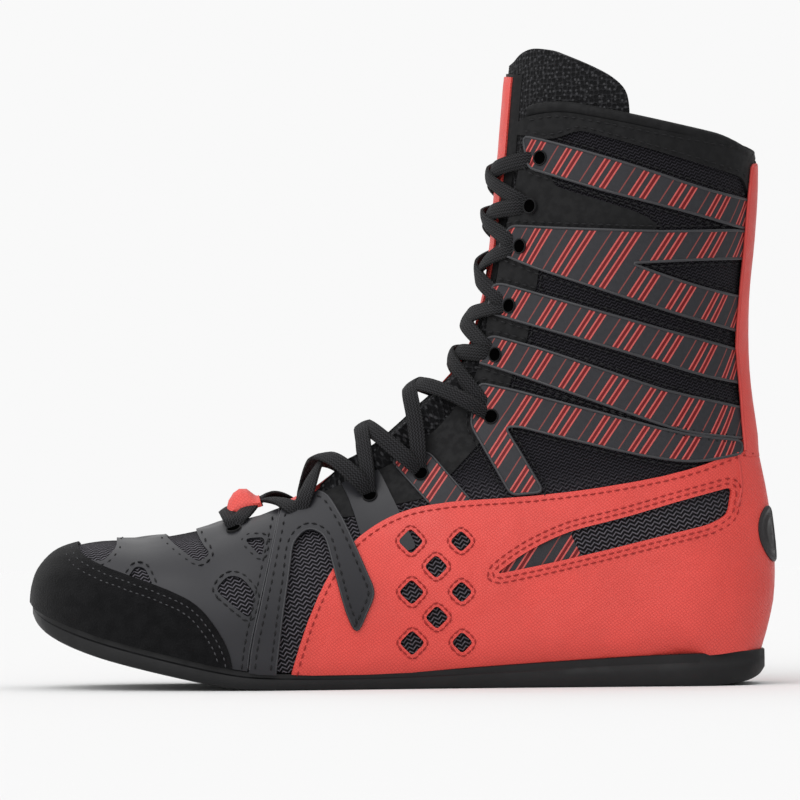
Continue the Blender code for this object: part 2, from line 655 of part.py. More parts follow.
def make_panels():
    cap_edge = placed(TOE_CAP_EDGE)
    tip = LENGTH + REACH
    cap = piece("toe_cap", panel_skin.data.copy(), BLACK, 0.95)
    cap_outline = [(x + CLEARANCE / 2, z) for x, z in cap_edge]
    cap_outline += [(tip, cap_edge[-1][1]), (tip, cap_edge[0][1])]
    combine(cap, cutter("toe_cap_outline", prism("toe_cap_outline", cap_outline, -REACH, REACH)), "INTERSECT")

    vamp = piece("vamp_overlay", panel_skin.data.copy(), CHARCOAL, 0.45)
    back = placed(VAMP_BACK_EDGE)
    vamp_outline = [(x - CLEARANCE / 2, z) for x, z in cap_edge[::-1]] + back[::-1]
    combine(vamp, cutter("vamp_outline", prism("vamp_outline", vamp_outline, -REACH, REACH)), "INTERSECT")
    windows = joined_prisms("vamp_windows", [placed(outline) for outline in VAMP_WINDOWS])
    combine(vamp, cutter("vamp_windows", windows), "DIFFERENCE")
    combine(vamp, wide_throat, "DIFFERENCE")

    strap_hole = joined_prisms("strap_room", [grown(placed(STRAP), CLEARANCE)])
    strap_room = cutter("strap_room", strap_hole)
    quarter = panel("quarter", QUARTER, "both", RED, 0.5)
    combine(quarter, strap_room, "DIFFERENCE")
    openings = joined_prisms("quarter_openings", [placed(QUARTER_WINDOW)] + vents())
    combine(quarter, cutter("quarter_openings", openings), "DIFFERENCE")
    panel("backstay", BACKSTAY, "both", RED, 0.5)

    for side in ("outer", "inner"):
        strap = panel("instep_strap_" + side, STRAP, side, CHARCOAL, 0.45)
        combine(strap, wide_throat, "DIFFERENCE")
        panel("collar_panel_" + side, COLLAR_PANEL, side, BLACK, 0.8)
        for number, outline in enumerate(SHAFT_BANDS, 1):
            band = panel("shaft_band_%d_%s" % (number, side), outline, side, CHARCOAL, 0.5)
            combine(band, wide_throat, "DIFFERENCE")


def make_binding():
    """The padded edge round the collar."""
    outer = (BINDING_THICKNESS - WALL) / 2
    binding = piece("collar_binding", last_mesh("collar_binding", outer), BLACK, 0.8)
    line = placed(COLLAR_LINE)
    low = [(x, z - BINDING_HEIGHT / 2) for x, z in line]
    high = [(x, z + BINDING_HEIGHT / 2) for x, z in line]
    outline = prism("binding_outline", low + high[::-1], -REACH, REACH)
    combine(binding, cutter("binding_outline", outline), "INTERSECT")
    combine(binding, cutter("binding_core", last_mesh("binding_core", -WALL)), "DIFFERENCE")
    combine(binding, throat, "DIFFERENCE")
    return binding


def make_badge():
    """A plain round badge at the back of the heel."""
    base = 2 * CLEARANCE + OVERLAY
    badge = piece("heel_badge", last_mesh("heel_badge", base + BADGE_THICKNESS), BLACK, 0.5)
    form = bmesh.new()
    bmesh.ops.create_cone(
        form, cap_ends=True, segments=24, radius1=BADGE_RADIUS, radius2=BADGE_RADIUS, depth=HEEL_CENTRE
    )
    bmesh.ops.rotate(form, matrix=Matrix.Rotation(pi / 2, 3, "Y"), verts=form.verts)
    bmesh.ops.translate(form, vec=(-HEEL_CENTRE, 0, BADGE_HEIGHT), verts=form.verts)
    mesh = bpy.data.meshes.new("badge_outline")
    form.to_mesh(mesh)
    form.free()
    combine(badge, cutter("badge_outline", mesh), "INTERSECT")
    combine(badge, cutter("badge_core", last_mesh("badge_core", base)), "DIFFERENCE")
    return badge


def make_lace_loop():
    """The arched loop at the foot of the throat, from the vamp to over the tongue."""
    base = 2 * CLEARANCE + OVERLAY
    rings = []
    for spot, rise in zip(LOOP_ROWS, LOOP_RISE):
        edge = turn_at(spot, LOOP_WIDTH / 2)
        low = base + LOOP_HEIGHT * rise
        under = [on_last(spot, turn, low) for turn in (edge, 1.0, -edge)]
        over = [on_last(spot, turn, low + LOOP_THICKNESS) for turn in (-edge, 1.0, edge)]
        rings.append(under + over)
    return piece("lace_loop", loft("lace_loop", rings), RED, 0.6)


def lace_bar(name, start, end, side, offset):
    """A flat lace from a hole on one side to the next hole on the other, over the tongue."""
    rings = []
    start_turn = turn_at(start[0], THROAT_HALF_GAP * start[1])
    end_turn = turn_at(end[0], THROAT_HALF_GAP * end[1])
    for number in range(LACE_STEPS + 1):
        share = number / LACE_STEPS
        spot = start[0] + (end[0] - start[0]) * share
        turn = start_turn + (2 - end_turn - start_turn) * share
        turn = turn if turn <= 1 else turn - 2
        centre = on_last(spot, turn * side, offset)
        normal = last_normal(spot, turn * side)
        rings.append((centre, normal))
    sections = []
    for number, (centre, normal) in enumerate(rings):
        before = rings[max(number - 1, 0)][0]
        after = rings[min(number + 1, LACE_STEPS)][0]
        across = (after - before).cross(normal).normalized() * LACE_WIDTH / 2
        up = normal * LACE_THICKNESS / 2
        low = [centre - across - up, centre + across - up]
        sections.append(low + [centre + across + up, centre - across + up])
    return loft(name, sections)


def make_lace():
    """The crossings of the lace, joined over the throat."""
    base = CLEARANCE * 2 + OVERLAY + LACE_LIFT + LACE_THICKNESS / 2
    lace = None
    for start, end in zip(LACE_HOLES, LACE_HOLES[1:]):
        for side in (1, -1):
            name = "lace_bar_%.1f_%d" % (start[0], side)
            mesh = lace_bar(name, start, end, side, base + (LACE_THICKNESS * 0.4 if side > 0 else 0))
            if lace is None:
                lace = piece("lace", mesh, BLACK, 0.8)
            else:
                combine(lace, cutter(name, mesh), "UNION")
    return lace


make_outsole()
make_upper()
make_insole()
make_tongue()
make_tongue_strip()
make_panels()
make_binding()
make_badge()
make_lace_loop()
make_lace()
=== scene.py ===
"""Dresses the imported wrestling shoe: cloth, leather, rubber, stitching and lace over the CAD last."""

from collections import namedtuple
from math import cos, degrees, floor, hypot, pi, radians, sin, sqrt
import bmesh
import bpy
from mathutils import Matrix, Vector
from mathutils.bvhtree import BVHTree


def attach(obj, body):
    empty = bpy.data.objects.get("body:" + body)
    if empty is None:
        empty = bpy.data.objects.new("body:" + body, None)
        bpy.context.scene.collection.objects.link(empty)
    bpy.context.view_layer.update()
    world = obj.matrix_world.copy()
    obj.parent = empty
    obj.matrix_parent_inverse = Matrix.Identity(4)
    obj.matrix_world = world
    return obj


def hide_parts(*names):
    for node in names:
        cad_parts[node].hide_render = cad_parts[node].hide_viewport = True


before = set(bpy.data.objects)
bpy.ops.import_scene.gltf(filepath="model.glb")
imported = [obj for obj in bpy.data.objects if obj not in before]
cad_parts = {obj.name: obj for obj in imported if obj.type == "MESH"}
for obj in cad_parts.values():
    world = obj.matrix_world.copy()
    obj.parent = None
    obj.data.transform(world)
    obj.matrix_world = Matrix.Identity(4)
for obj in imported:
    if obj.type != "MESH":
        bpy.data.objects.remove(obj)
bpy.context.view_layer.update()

# The shoe's sizes, as in the part's source
LENGTH = 0.285
BALL_WIDTH = 0.098
HEEL_WIDTH = 0.067
SHAFT_WIDTH = 0.074
INSTEP_HEIGHT = 0.120
LEG_HEIGHT = 0.080
HEEL_CENTRE = 0.034
WALL = 0.002
CLEARANCE = 0.0003
OVERLAY = 0.0010
SINK = 0.0030
THROAT_HALF_GAP = 0.022

# Sizes of the dressing
PANEL_BASE = 0.00025
PANEL_THICKNESS = 0.0011
STITCH_LENGTH = 0.0022
STITCH_PITCH = 0.0031
STITCH_WIDTH = 0.00040
PIPING_RADIUS = 0.00062
LACE_WIDTH = 0.0060
LACE_THICKNESS = 0.0011
RIM_RADIUS = 0.0030
TIP_BULGE = 0.00045
HEEL_DRAW = 0.0030
HEEL_DRAW_TOP = 0.036
HEEL_DRAW_HEIGHT = 0.022
HEEL_DRAW_FRONT = 0.016
HEEL_DRAW_LENGTH = 0.030
SIDES = ((1, "outer"), (-1, "inner"))

Row = namedtuple(
    "Row", "low_along low_level high_along high_level middle half widest low_power high_power sunk"
)

FOREFOOT_ROWS = [
    Row(0.996, 0.225, 0.995, 0.322, -0.070, 0.035, 0.50, 2.0, 2.0, 0.0),
    Row(0.990, 0.200, 0.987, 0.375, -0.066, 0.150, 0.48, 2.4, 2.1, 0.1),
    Row(0.974, 0.185, 0.967, 0.427, -0.060, 0.250, 0.45, 3.2, 2.2, 0.5),
    Row(0.946, 0.172, 0.941, 0.453, -0.050, 0.330, 0.42, 4.2, 2.3, 1.0),
    Row(0.905, 0.152, 0.902, 0.469, -0.034, 0.400, 0.38, 5.0, 2.3, 1.0),
    Row(0.842, 0.117, 0.844, 0.473, -0.016, 0.456, 0.34, 6.0, 2.2, 1.0),
    Row(0.770, 0.074, 0.776, 0.499, 0.002, 0.488, 0.30, 7.0, 2.1, 1.0),
    Row(0.700, 0.049, 0.716, 0.541, 0.014, 0.490, 0.28, 7.0, 2.0, 1.0),
    Row(0.630, 0.046, 0.659, 0.596, 0.026, 0.462, 0.26, 7.0, 1.9, 1.0),
    Row(0.560, 0.047, 0.610, 0.656, 0.032, 0.420, 0.25, 7.0, 1.8, 1.0),
    Row(0.490, 0.051, 0.569, 0.714, 0.034, 0.380, 0.25, 7.0, 1.7, 1.0),
    Row(0.415, 0.064, 0.535, 0.773, 0.030, 0.354, 0.27, 6.5, 1.7, 1.0),
]
HEEL_ROWS = [
    Row(0.325, 0.076, 0.504, 0.834, 0.036, 0.506, 0.30, 6.0, 1.8, 1.0),
    Row(0.215, 0.091, 0.477, 0.894, 0.020, 0.500, 0.32, 6.0, 1.9, 1.0),
    Row(0.110, 0.096, 0.455, 0.948, 0.006, 0.500, 0.36, 4.8, 2.0, 1.0),
    Row(0.026, 0.070, 0.439, 1.000, 0.000, 0.508, 0.40, 3.4, 2.0, 0.8),
    Row(0.009, 0.225, 0.429, 1.046, 0.000, 0.515, 0.42, 2.7, 2.0, 0.0),
    Row(0.0045, 0.400, 0.420, 1.106, 0.000, 0.520, 0.44, 2.4, 2.0, 0.0),
    Row(0.0130, 0.590, 0.411, 1.182, 0.000, 0.528, 0.46, 2.2, 2.0, 0.0),
]
SHAFT_ROWS = [
    Row(0.029, 0.790, 0.403, 1.287, 0.000, 0.486, 0.48, 2.0, 2.0, 0.0),
    Row(0.040, 1.000, 0.393, 1.440, 0.000, 0.494, 0.49, 2.0, 1.9, 0.0),
    Row(0.040, 1.330, 0.383, 1.680, 0.000, 0.500, 0.50, 2.1, 1.9, 0.0),
    Row(0.032, 1.620, 0.376, 1.900, 0.000, 0.502, 0.50, 2.2, 1.9, 0.0),
    Row(0.027, 1.880, 0.367, 2.140, 0.000, 0.504, 0.50, 2.2, 1.9, 0.0),
    Row(0.028, 2.140, 0.357, 2.410, 0.000, 0.506, 0.50, 2.2, 1.9, 0.0),
    Row(0.033, 2.430, 0.348, 2.720, 0.000, 0.506, 0.50, 2.2, 1.9, 0.0),
]
LAST_ROW = len(FOREFOOT_ROWS + HEEL_ROWS + SHAFT_ROWS) - 1

SoleRow = namedtuple("SoleRow", "along bottom top outer inner arch")
FORE_SOLE_ROWS = [
    SoleRow(0.997, 0.238, 0.272, 0.000, -0.130, 0.0),
    SoleRow(0.989, 0.206, 0.254, 0.096, -0.220, 0.0),
    SoleRow(0.972, 0.172, 0.232, 0.190, -0.300, 0.0),
    SoleRow(0.943, 0.137, 0.204, 0.278, -0.373, 0.0),
    SoleRow(0.902, 0.102, 0.172, 0.358, -0.426, 0.0),
    SoleRow(0.850, 0.069, 0.138, 0.425, -0.465, 0.0),
    SoleRow(0.790, 0.036, 0.102, 0.472, -0.484, 0.0),
    SoleRow(0.735, 0.010, 0.073, 0.494, -0.482, 0.0),
    SoleRow(0.690, 0.000, 0.058, 0.499, -0.468, 0.0),
    SoleRow(0.620, 0.000, 0.051, 0.482, -0.432, 0.1),
    SoleRow(0.550, 0.000, 0.051, 0.447, -0.382, 0.5),
    SoleRow(0.480, 0.000, 0.056, 0.411, -0.344, 0.9),
    SoleRow(0.410, 0.000, 0.066, 0.382, -0.324, 1.0),
]
HEEL_SOLE_ROWS = [
    SoleRow(0.330, 0.000, 0.078, 0.532, -0.474, 0.8),
    SoleRow(0.250, 0.000, 0.089, 0.515, -0.480, 0.2),
    SoleRow(0.180, 0.000, 0.098, 0.500, -0.487, 0.0),
    SoleRow(0.120, 0.000, 0.103, 0.488, -0.482, 0.0),
    SoleRow(0.080, 0.000, 0.106, 0.450, -0.448, 0.0),
    SoleRow(0.046, 0.012, 0.109, 0.385, -0.385, 0.0),
    SoleRow(0.026, 0.030, 0.111, 0.290, -0.290, 0.0),
    SoleRow(0.0155, 0.055, 0.112, 0.150, -0.150, 0.0),
]
SOLE_EDGE_RADIUS = 0.0016
SOLE_STEP = 0.0007
ARCH_RISE = 0.0030
GROOVE_DEPTH = 0.0012
GROOVE_WIDTH = 0.0024
GROOVE_PITCH = 0.0105

# Outlines in the side view, as (along, level)
TOE_CAP_EDGE = [
    (0.945, 0.600), (0.937, 0.468), (0.929, 0.426), (0.902, 0.390), (0.866, 0.360), (0.809, 0.314),
    (0.771, 0.271), (0.745, 0.197), (0.729, 0.126), (0.720, 0.000),
]
VAMP_BACK_EDGE = [(0.708, 0.000), (0.704, 0.120), (0.682, 0.345), (0.663, 0.545), (0.655, 0.640)]
VAMP_WINDOWS = [
    [(0.960, 0.420), (0.925, 0.411), (0.897, 0.400), (0.879, 0.448), (0.900, 0.560), (0.960, 0.560)],
    [(0.830, 0.560), (0.823, 0.490), (0.793, 0.432), (0.769, 0.396), (0.754, 0.427), (0.765, 0.453),
     (0.790, 0.560)],
    [(0.870, 0.330), (0.854, 0.389), (0.841, 0.382), (0.824, 0.300)],
    [(0.748, 0.316), (0.731, 0.360), (0.713, 0.353), (0.694, 0.301), (0.702, 0.225), (0.720, 0.257)],
    [(0.710, 0.468), (0.681, 0.476), (0.686, 0.412)],
]
STRAP = [
    (0.706, 0.000), (0.702, 0.122), (0.680, 0.347), (0.659, 0.567), (0.625, 0.615), (0.600, 0.612),
    (0.578, 0.530), (0.536, 0.299), (0.548, 0.240), (0.562, 0.165), (0.577, 0.240), (0.603, 0.480),
    (0.625, 0.500), (0.645, 0.456), (0.649, 0.376), (0.660, 0.217), (0.671, 0.000),
]
SHAFT_BANDS = [
    [(0.332, 2.117), (0.304, 2.091), (0.204, 1.986), (0.090, 1.846), (0.046, 1.795), (0.051, 1.668),
     (0.072, 1.676), (0.133, 1.762), (0.233, 1.853), (0.325, 1.963)],
    [(0.349, 1.691), (0.290, 1.674), (0.149, 1.652), (0.077, 1.664), (0.054, 1.655), (0.058, 1.532),
     (0.091, 1.525), (0.195, 1.506), (0.150, 1.446), (0.099, 1.386), (0.064, 1.340), (0.064, 1.172),
     (0.133, 1.263), (0.212, 1.358), (0.319, 1.488), (0.358, 1.553), (0.364, 1.591)],
    [(0.372, 1.410), (0.361, 1.414), (0.263, 1.308), (0.151, 1.188), (0.065, 1.082), (0.062, 0.952),
     (0.094, 0.976), (0.151, 1.030), (0.264, 1.155), (0.356, 1.251), (0.380, 1.281)],
    [(0.376, 1.170), (0.320, 1.115), (0.208, 0.983), (0.152, 0.934), (0.062, 0.872), (0.059, 0.778),
     (0.123, 0.798), (0.208, 0.875), (0.321, 0.971), (0.362, 1.007), (0.408, 1.057)],
    [(0.398, 0.932), (0.391, 0.961), (0.349, 0.940), (0.237, 0.869), (0.123, 0.792), (0.072, 0.772),
     (0.072, 0.732), (0.110, 0.704), (0.181, 0.730), (0.294, 0.795), (0.342, 0.825), (0.361, 0.822),
     (0.311, 0.616), (0.354, 0.606), (0.406, 0.827)],
]
QUARTER = [
    (-0.100, 0.770), (0.048, 0.746), (0.095, 0.700), (0.153, 0.663), (0.238, 0.628), (0.323, 0.602),
    (0.435, 0.586), (0.486, 0.566), (0.525, 0.529), (0.566, 0.463), (0.599, 0.359), (0.627, 0.216),
    (0.655, 0.000), (-0.100, 0.000),
]
QUARTER_WINDOW = [
    (0.062, 0.628), (0.136, 0.583), (0.196, 0.540), (0.278, 0.492), (0.317, 0.451), (0.347, 0.411),
    (0.376, 0.358), (0.318, 0.384), (0.227, 0.433), (0.166, 0.469), (0.091, 0.511), (0.068, 0.542),
]
WINDOW_STRIPE = [(0.400, 0.330), (0.337, 0.450), (0.281, 0.510), (0.258, 0.395), (0.316, 0.355)]
BACKSTAY = [
    (-0.100, 1.900), (0.018, 1.968), (0.034, 1.985), (0.041, 1.773), (0.045, 1.591), (0.053, 1.318),
    (0.058, 1.103), (0.053, 0.960), (0.046, 0.720), (-0.100, 0.740),
]
COLLAR_LINE = [
    (0.600, 1.700), (0.366, 2.060), (0.350, 2.180), (0.329, 2.237), (0.300, 2.250), (0.273, 2.247),
    (0.195, 2.189), (0.129, 2.136), (0.069, 2.089), (0.039, 2.036), (0.020, 1.996), (-0.200, 1.876),
]
COLLAR_PANEL = [
    (0.350, 2.125), (0.340, 2.180), (0.328, 2.207), (0.300, 2.225), (0.273, 2.223), (0.195, 2.167),
    (0.129, 2.115), (0.069, 2.069), (0.046, 2.033), (0.046, 1.815), (0.060, 1.825), (0.070, 1.918),
    (0.159, 2.038), (0.261, 2.140), (0.285, 2.105), (0.304, 2.096), (0.330, 2.122),
]
TONGUE = [
    (0.420, 2.420), (0.352, 2.465), (0.341, 2.515), (0.326, 2.537), (0.306, 2.530), (0.248, 2.446),
    (0.218, 2.392), (0.197, 2.328), (0.192, 2.200), (0.230, 1.700), (0.290, 1.150), (0.345, 0.860),
    (0.430, 0.690), (0.560, 0.520), (0.665, 0.440), (0.722, 0.420), (0.750, 0.600), (0.520, 1.100),
]
EYELET_PLATE = [
    (0.590, 0.690), (0.554, 0.715), (0.530, 0.690), (0.480, 0.440), (0.545, 0.400), (0.570, 0.600),
]
STRIPED_TAB = [(0.512, 0.715), (0.486, 0.740), (0.462, 0.740), (0.390, 0.540), (0.440, 0.520)]

# Where the throat runs, by the number of the row, and its half gap as a share of THROAT_HALF_GAP
THROAT = [
    (6.70, 0.45), (6.80, 0.60), (7.00, 0.68), (8.30, 0.68), (9.80, 0.60), (11.30, 0.68),
    (13.00, 0.72), (15.00, 0.70), (17.80, 0.75), (19.60, 0.72), (20.70, 0.78), (21.70, 0.90),
    (22.60, 0.97), (25.00, 1.05),
]
LACE_HOLES = [
    (6.86, 0.96), (8.38, 1.05), (10.30, 0.92), (11.90, 0.98), (14.92, 1.02),
    (17.80, 0.94), (19.60, 1.05), (20.84, 1.11), (21.68, 1.19), (22.66, 1.25),
]
VENT_PITCH = 0.0190
VENT_LARGEST = 0.0135
VENT_SMALLEST = 0.0080
VENT_MARGIN = 0.0088
VENT_BACK = 0.400


# The last: the part's own shape, with a rounder tip and a heel that draws in more above the sole

def held(value, low=0.0, high=1.0):
    """A value kept between two limits."""
    return min(max(value, low), high)


def place(along, level):
    """The X and Z of a point of the side view. Level 1 is the top of the instep."""
    if level < 1:
        return along * LENGTH - HEEL_CENTRE, level * INSTEP_HEIGHT
    return along * LENGTH - HEEL_CENTRE, INSTEP_HEIGHT + (level - 1) * LEG_HEIGHT


def placed(outline):
    return [place(along, level) for along, level in outline]


def real_row(row, width):
    """A row of the tables in metres."""
    low_x, low_z = place(row.low_along, row.low_level)
    high_x, high_z = place(row.high_along, row.high_level)
    shape = [row.widest, row.low_power, row.high_power]
    low_z -= row.sunk * SINK
    return [low_x, low_z, high_x, high_z, row.middle * width, row.half * width] + shape


TABLES = ((FOREFOOT_ROWS, BALL_WIDTH), (HEEL_ROWS, HEEL_WIDTH), (SHAFT_ROWS, SHAFT_WIDTH))
REAL_ROWS = [real_row(row, width) for rows, width in TABLES for row in rows]


def between(before, start, end, after, share):
    """A smooth curve through four numbers, at a share of the way from the second to the third."""
    square = share * share
    cube = square * share
    return (
        start * (2 * cube - 3 * square + 1)
        + end * (3 * square - 2 * cube)
        + (end - before) * 0.5 * (cube - 2 * square + share)
        + (after - start) * 0.5 * (cube - square)
    )


def along_rows(rows, spot):
    """The values of a list of rows at a row's number, whole or not."""
    end = len(rows) - 1
    spot = held(spot, 0.0, float(end))
    first = min(int(spot), end - 1)
    numbers = [max(first - 1, 0), first, first + 1, min(first + 2, end)]
    share = spot - first
    return [between(*values, share) for values in zip(*(rows[n] for n in numbers))]


def heel_draw(x, z):
    """How far the heel draws in above the sole."""
    low = held((HEEL_DRAW_TOP - z) / HEEL_DRAW_HEIGHT)
    back = held((HEEL_DRAW_FRONT - x) / HEEL_DRAW_LENGTH)
    return HEEL_DRAW * low * low * back


SECTIONS = {}


def section(spot):
    key = round(spot, 4)
    if key not in SECTIONS:
        SECTIONS[key] = along_rows(REAL_ROWS, key)
    return SECTIONS[key]


def unturned(turn):
    """A turn past the high point, counted from the low point on the inner side."""
    return turn - 2 if turn > 1 else turn


def last_point(spot, turn):
    """A point of the last. Turn is 0 at the low point and 1 at the high point.

    On the inner side turn is less than 0. The sections are those of the part's source.
    """
    if spot < 0:  # the tip draws in to the middle of the first section
        ring = last_point(0.0, turn)
        tip = (last_point(0.0, 0.5) + last_point(0.0, -0.5)) / 2
        near = 1 + spot
        return tip + (ring - tip) * near + Vector((TIP_BULGE * (1 - near * near), 0, 0))
    low_x, low_z, high_x, high_z, middle, half, widest, low_power, high_power = section(spot)
    turn = unturned(turn)
    turn = turn + 2 if turn < -1 else turn
    side = 1 if turn >= 0 else -1
    angle = abs(turn) * pi
    across, along = max(sin(angle), 0.0), abs(cos(angle))
    power = low_power if angle <= pi / 2 else high_power
    reach = (across ** power + along ** power) ** (-1 / power)
    out = reach * across
    up = widest * (1 - reach * along) if angle <= pi / 2 else widest + (1 - widest) * reach * along
    x = low_x + (high_x - low_x) * up
    z = low_z + (high_z - low_z) * up
    x += heel_draw(x, z)
    return Vector((x, middle + side * half * out, z))


def last_normal(spot, turn):
    """The direction straight out of the last."""
    step = 0.02
    near = held(spot, step - 1, LAST_ROW - step)
    turn = unturned(turn)
    ahead = last_point(near - step, turn) - last_point(near + step, turn)
    across = last_point(near, turn + step) - last_point(near, turn - step)
    if abs(turn) > 1 - step:
        across = Vector((0, -1, 0))
    if abs(turn) < step:
        across = Vector((0, 1, 0))
    return across.cross(ahead).normalized()


def on_last(spot, turn, offset):
    """A point at a distance out from the last."""
    return last_point(spot, turn) + last_normal(spot, turn) * offset


FLAT_STEPS = 24
FLAT_ROWS = 20  # flat rows from one row of the tables to the next
FLAT = {}


def flat_row(spot):
    """A row laid flat: where its side is, which way it runs, and how far round each step lies."""
    key = round(spot, 2)
    if key in FLAT:
        return FLAT[key]
    side = last_point(key, 0.5)
    low = last_point(key, 0.0)
    high = last_point(key, 1.0)
    way = Vector((high.x - low.x, high.z - low.z)).normalized()
    lengths = [0.0]
    before = low
    for number in range(1, FLAT_STEPS + 1):
        point = last_point(key, number / FLAT_STEPS)
        lengths.append(lengths[-1] + (point - before).length)
        before = point
    middle = lengths[FLAT_STEPS // 2]
    FLAT[key] = (Vector((side.x, side.z)), way, [length - middle for length in lengths])
    return FLAT[key]


def flat_place(spot, turn):
    """Where a point of the last lies once its side is laid flat, in metres."""
    share = spot * FLAT_ROWS - floor(spot * FLAT_ROWS)
    first = floor(spot * FLAT_ROWS) / FLAT_ROWS
    turn = abs(unturned(turn)) * FLAT_STEPS
    number = min(int(turn), FLAT_STEPS - 1)
    found = []
    for key in (first, first + 1 / FLAT_ROWS):
        side, way, lengths = flat_row(key)
        length = lengths[number] + (lengths[number + 1] - lengths[number]) * (turn - number)
        found.append(side + way * length)
    return found[0].lerp(found[1], share)


# The camera, at the photograph's angle

SCALE = 2642  # pixels a metre at the near side
PICTURE_WIDTH = 800
SENSOR_WIDTH = 36
VIEW_DISTANCE = 3.0
NEAR_SIDE = 0.036
CAMERA_ALONG = 0.1089
CAMERA_HEIGHT = 0.0982
TARGET_HEIGHT = 0.1093
CAMERA_ROLL = -0.0075
camera_data = bpy.data.cameras.new("camera")
camera_data.sensor_width = SENSOR_WIDTH
camera_data.lens = SENSOR_WIDTH * VIEW_DISTANCE / (PICTURE_WIDTH / SCALE)
camera = bpy.data.objects.new("camera", camera_data)
bpy.context.scene.collection.objects.link(camera)
bpy.context.scene.camera = camera
camera.location = (CAMERA_ALONG, NEAR_SIDE + VIEW_DISTANCE, CAMERA_HEIGHT)
target = Vector((CAMERA_ALONG, NEAR_SIDE, TARGET_HEIGHT))
look = (target - camera.location).to_track_quat("-Z", "Y").to_matrix()
camera.rotation_euler = (look @ Matrix.Rotation(CAMERA_ROLL, 3, "Z")).to_euler()


# Making pieces

shoe = bpy.data.collections.new("wrestling_shoe_dressing")
bpy.context.scene.collection.children.link(shoe)


def new_piece(name, form, materials, nodes=()):
    """An object from a bmesh, which rides on the shoe's one body."""
    mesh = bpy.data.meshes.new(name)
    form.to_mesh(mesh)
    form.free()
    item = bpy.data.objects.new(name, mesh)
    for material in materials:
        mesh.materials.append(material)
    shoe.objects.link(item)
    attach(item, "root")
    if nodes:
        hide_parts(*nodes)
    return item


def crisp(form, angle=radians(50)):
    """Smooth shading, with hard edges where the faces turn sharply."""
    for face in form.faces:
        face.smooth = True
    for edge in form.edges:
        if len(edge.link_faces) == 2 and edge.calc_face_angle(0) > angle:
            edge.smooth = False


TURN_STEPS = 72
ROW_FINE = 0.25
WELD = 1e-5
FINE_WELD = 1e-6


def add_grid(form, along, across):
    """A flat grid whose corners are at -1 and 1. What comes back is its vertices."""
    return bmesh.ops.create_grid(form, x_segments=along, y_segments=across, size=1.0)["verts"]


def grid_shares(point):
    """How far along and across a grid a point lies, from 0 to 1."""
    return (point.x + 1) / 2, (point.y + 1) / 2


def weld(form, distance=WELD):
    bmesh.ops.remove_doubles(form, verts=form.verts, dist=distance)


def face_out(form):
    bmesh.ops.recalc_face_normals(form, faces=form.faces)


def last_sheet():
    """The last's surface as a grid whose UV map holds the row's number and the turn."""
    form = bmesh.new()
    add_grid(form, round((LAST_ROW + 1) / ROW_FINE), TURN_STEPS)
    spots = form.loops.layers.uv.new("UVMap")
    for face in form.faces:
        for loop in face.loops:
            along, round_it = grid_shares(loop.vert.co)
            loop[spots].uv = (-1 + (LAST_ROW + 1) * along, 2 * round_it)
    for vert in form.verts:
        vert.co = last_point(*vert.link_loops[0][spots].uv)
    weld(form, FINE_WELD)
    return form


def tucked(outline, edge=0.080, reach=0.024):
    """An outline whose points near the heel's seam are drawn back under the backstay."""
    return [(along - reach if along < edge else along, level) for along, level in outline]


BASE = last_sheet()
BASE_TREE = BVHTree.FromBMesh(BASE)
BASE_SPOTS = BASE.loops.layers.uv.active
BASE_PLACES = [tuple(face.loops[0][BASE_SPOTS].uv) for face in BASE.faces]


def side_hit(x, z, side):
    """Where a line across the shoe first meets the last, from the outer side or the inner side."""
    hit = BASE_TREE.ray_cast(Vector((x, side * BALL_WIDTH, z)), Vector((0, -side, 0)))
    if hit[0] is None:
        return None
    normal = hit[1]
    if normal.y * side < 0:
        normal = -normal
    row, turn = BASE_PLACES[hit[2]]
    return hit[0], normal, (row, unturned(turn))


def filleted(outline, radius=0.0025, soft_turn=38.0, closed=True):
    """An outline with rounded corners. A gentle turn is rounded from the middle of its edges."""
    made = []
    count = len(outline)
    for number, point in enumerate(outline):
        if not closed and number in (0, count - 1):
            made.append(point)
            continue
        before = Vector(outline[number - 1])
        here = Vector(point)
        after = Vector(outline[(number + 1) % count])
        back = before - here
        ahead = after - here
        turn = abs(180 - degrees(back.angle(ahead, 0.0)))
        room = 0.49 * min(back.length, ahead.length)
        reach = room if turn < soft_turn else min(radius, room)
        start = here + back.normalized() * reach
        end = here + ahead.normalized() * reach
        steps = 4 if turn > 12 else 2
        for step in range(steps + 1):
            share = step / steps
            spot = start * (1 - share) ** 2 + here * 2 * share * (1 - share) + end * share * share
            if not made or (Vector(made[-1]) - spot).length > 2e-4:
                made.append((spot.x, spot.y))
    return made


def inside(point, outline):
    """Whether a point of the side view lies in an outline."""
    found = False
    x, z = point
    for (x1, z1), (x2, z2) in zip(outline, outline[1:] + outline[:1]):
        if (z1 > z) != (z2 > z) and x < x1 + (x2 - x1) * (z - z1) / (z2 - z1):
            found = not found
    return found


def cut_faces(form, faces, point, way):
    """Cuts some of a form's faces by the plane through a point."""
    geometry = set(faces)
    for face in faces:
        geometry.update(face.edges)
        geometry.update(face.verts)
    if faces:
        bmesh.ops.bisect_plane(form, geom=list(geometry), dist=FINE_WELD, plane_co=point, plane_no=way)


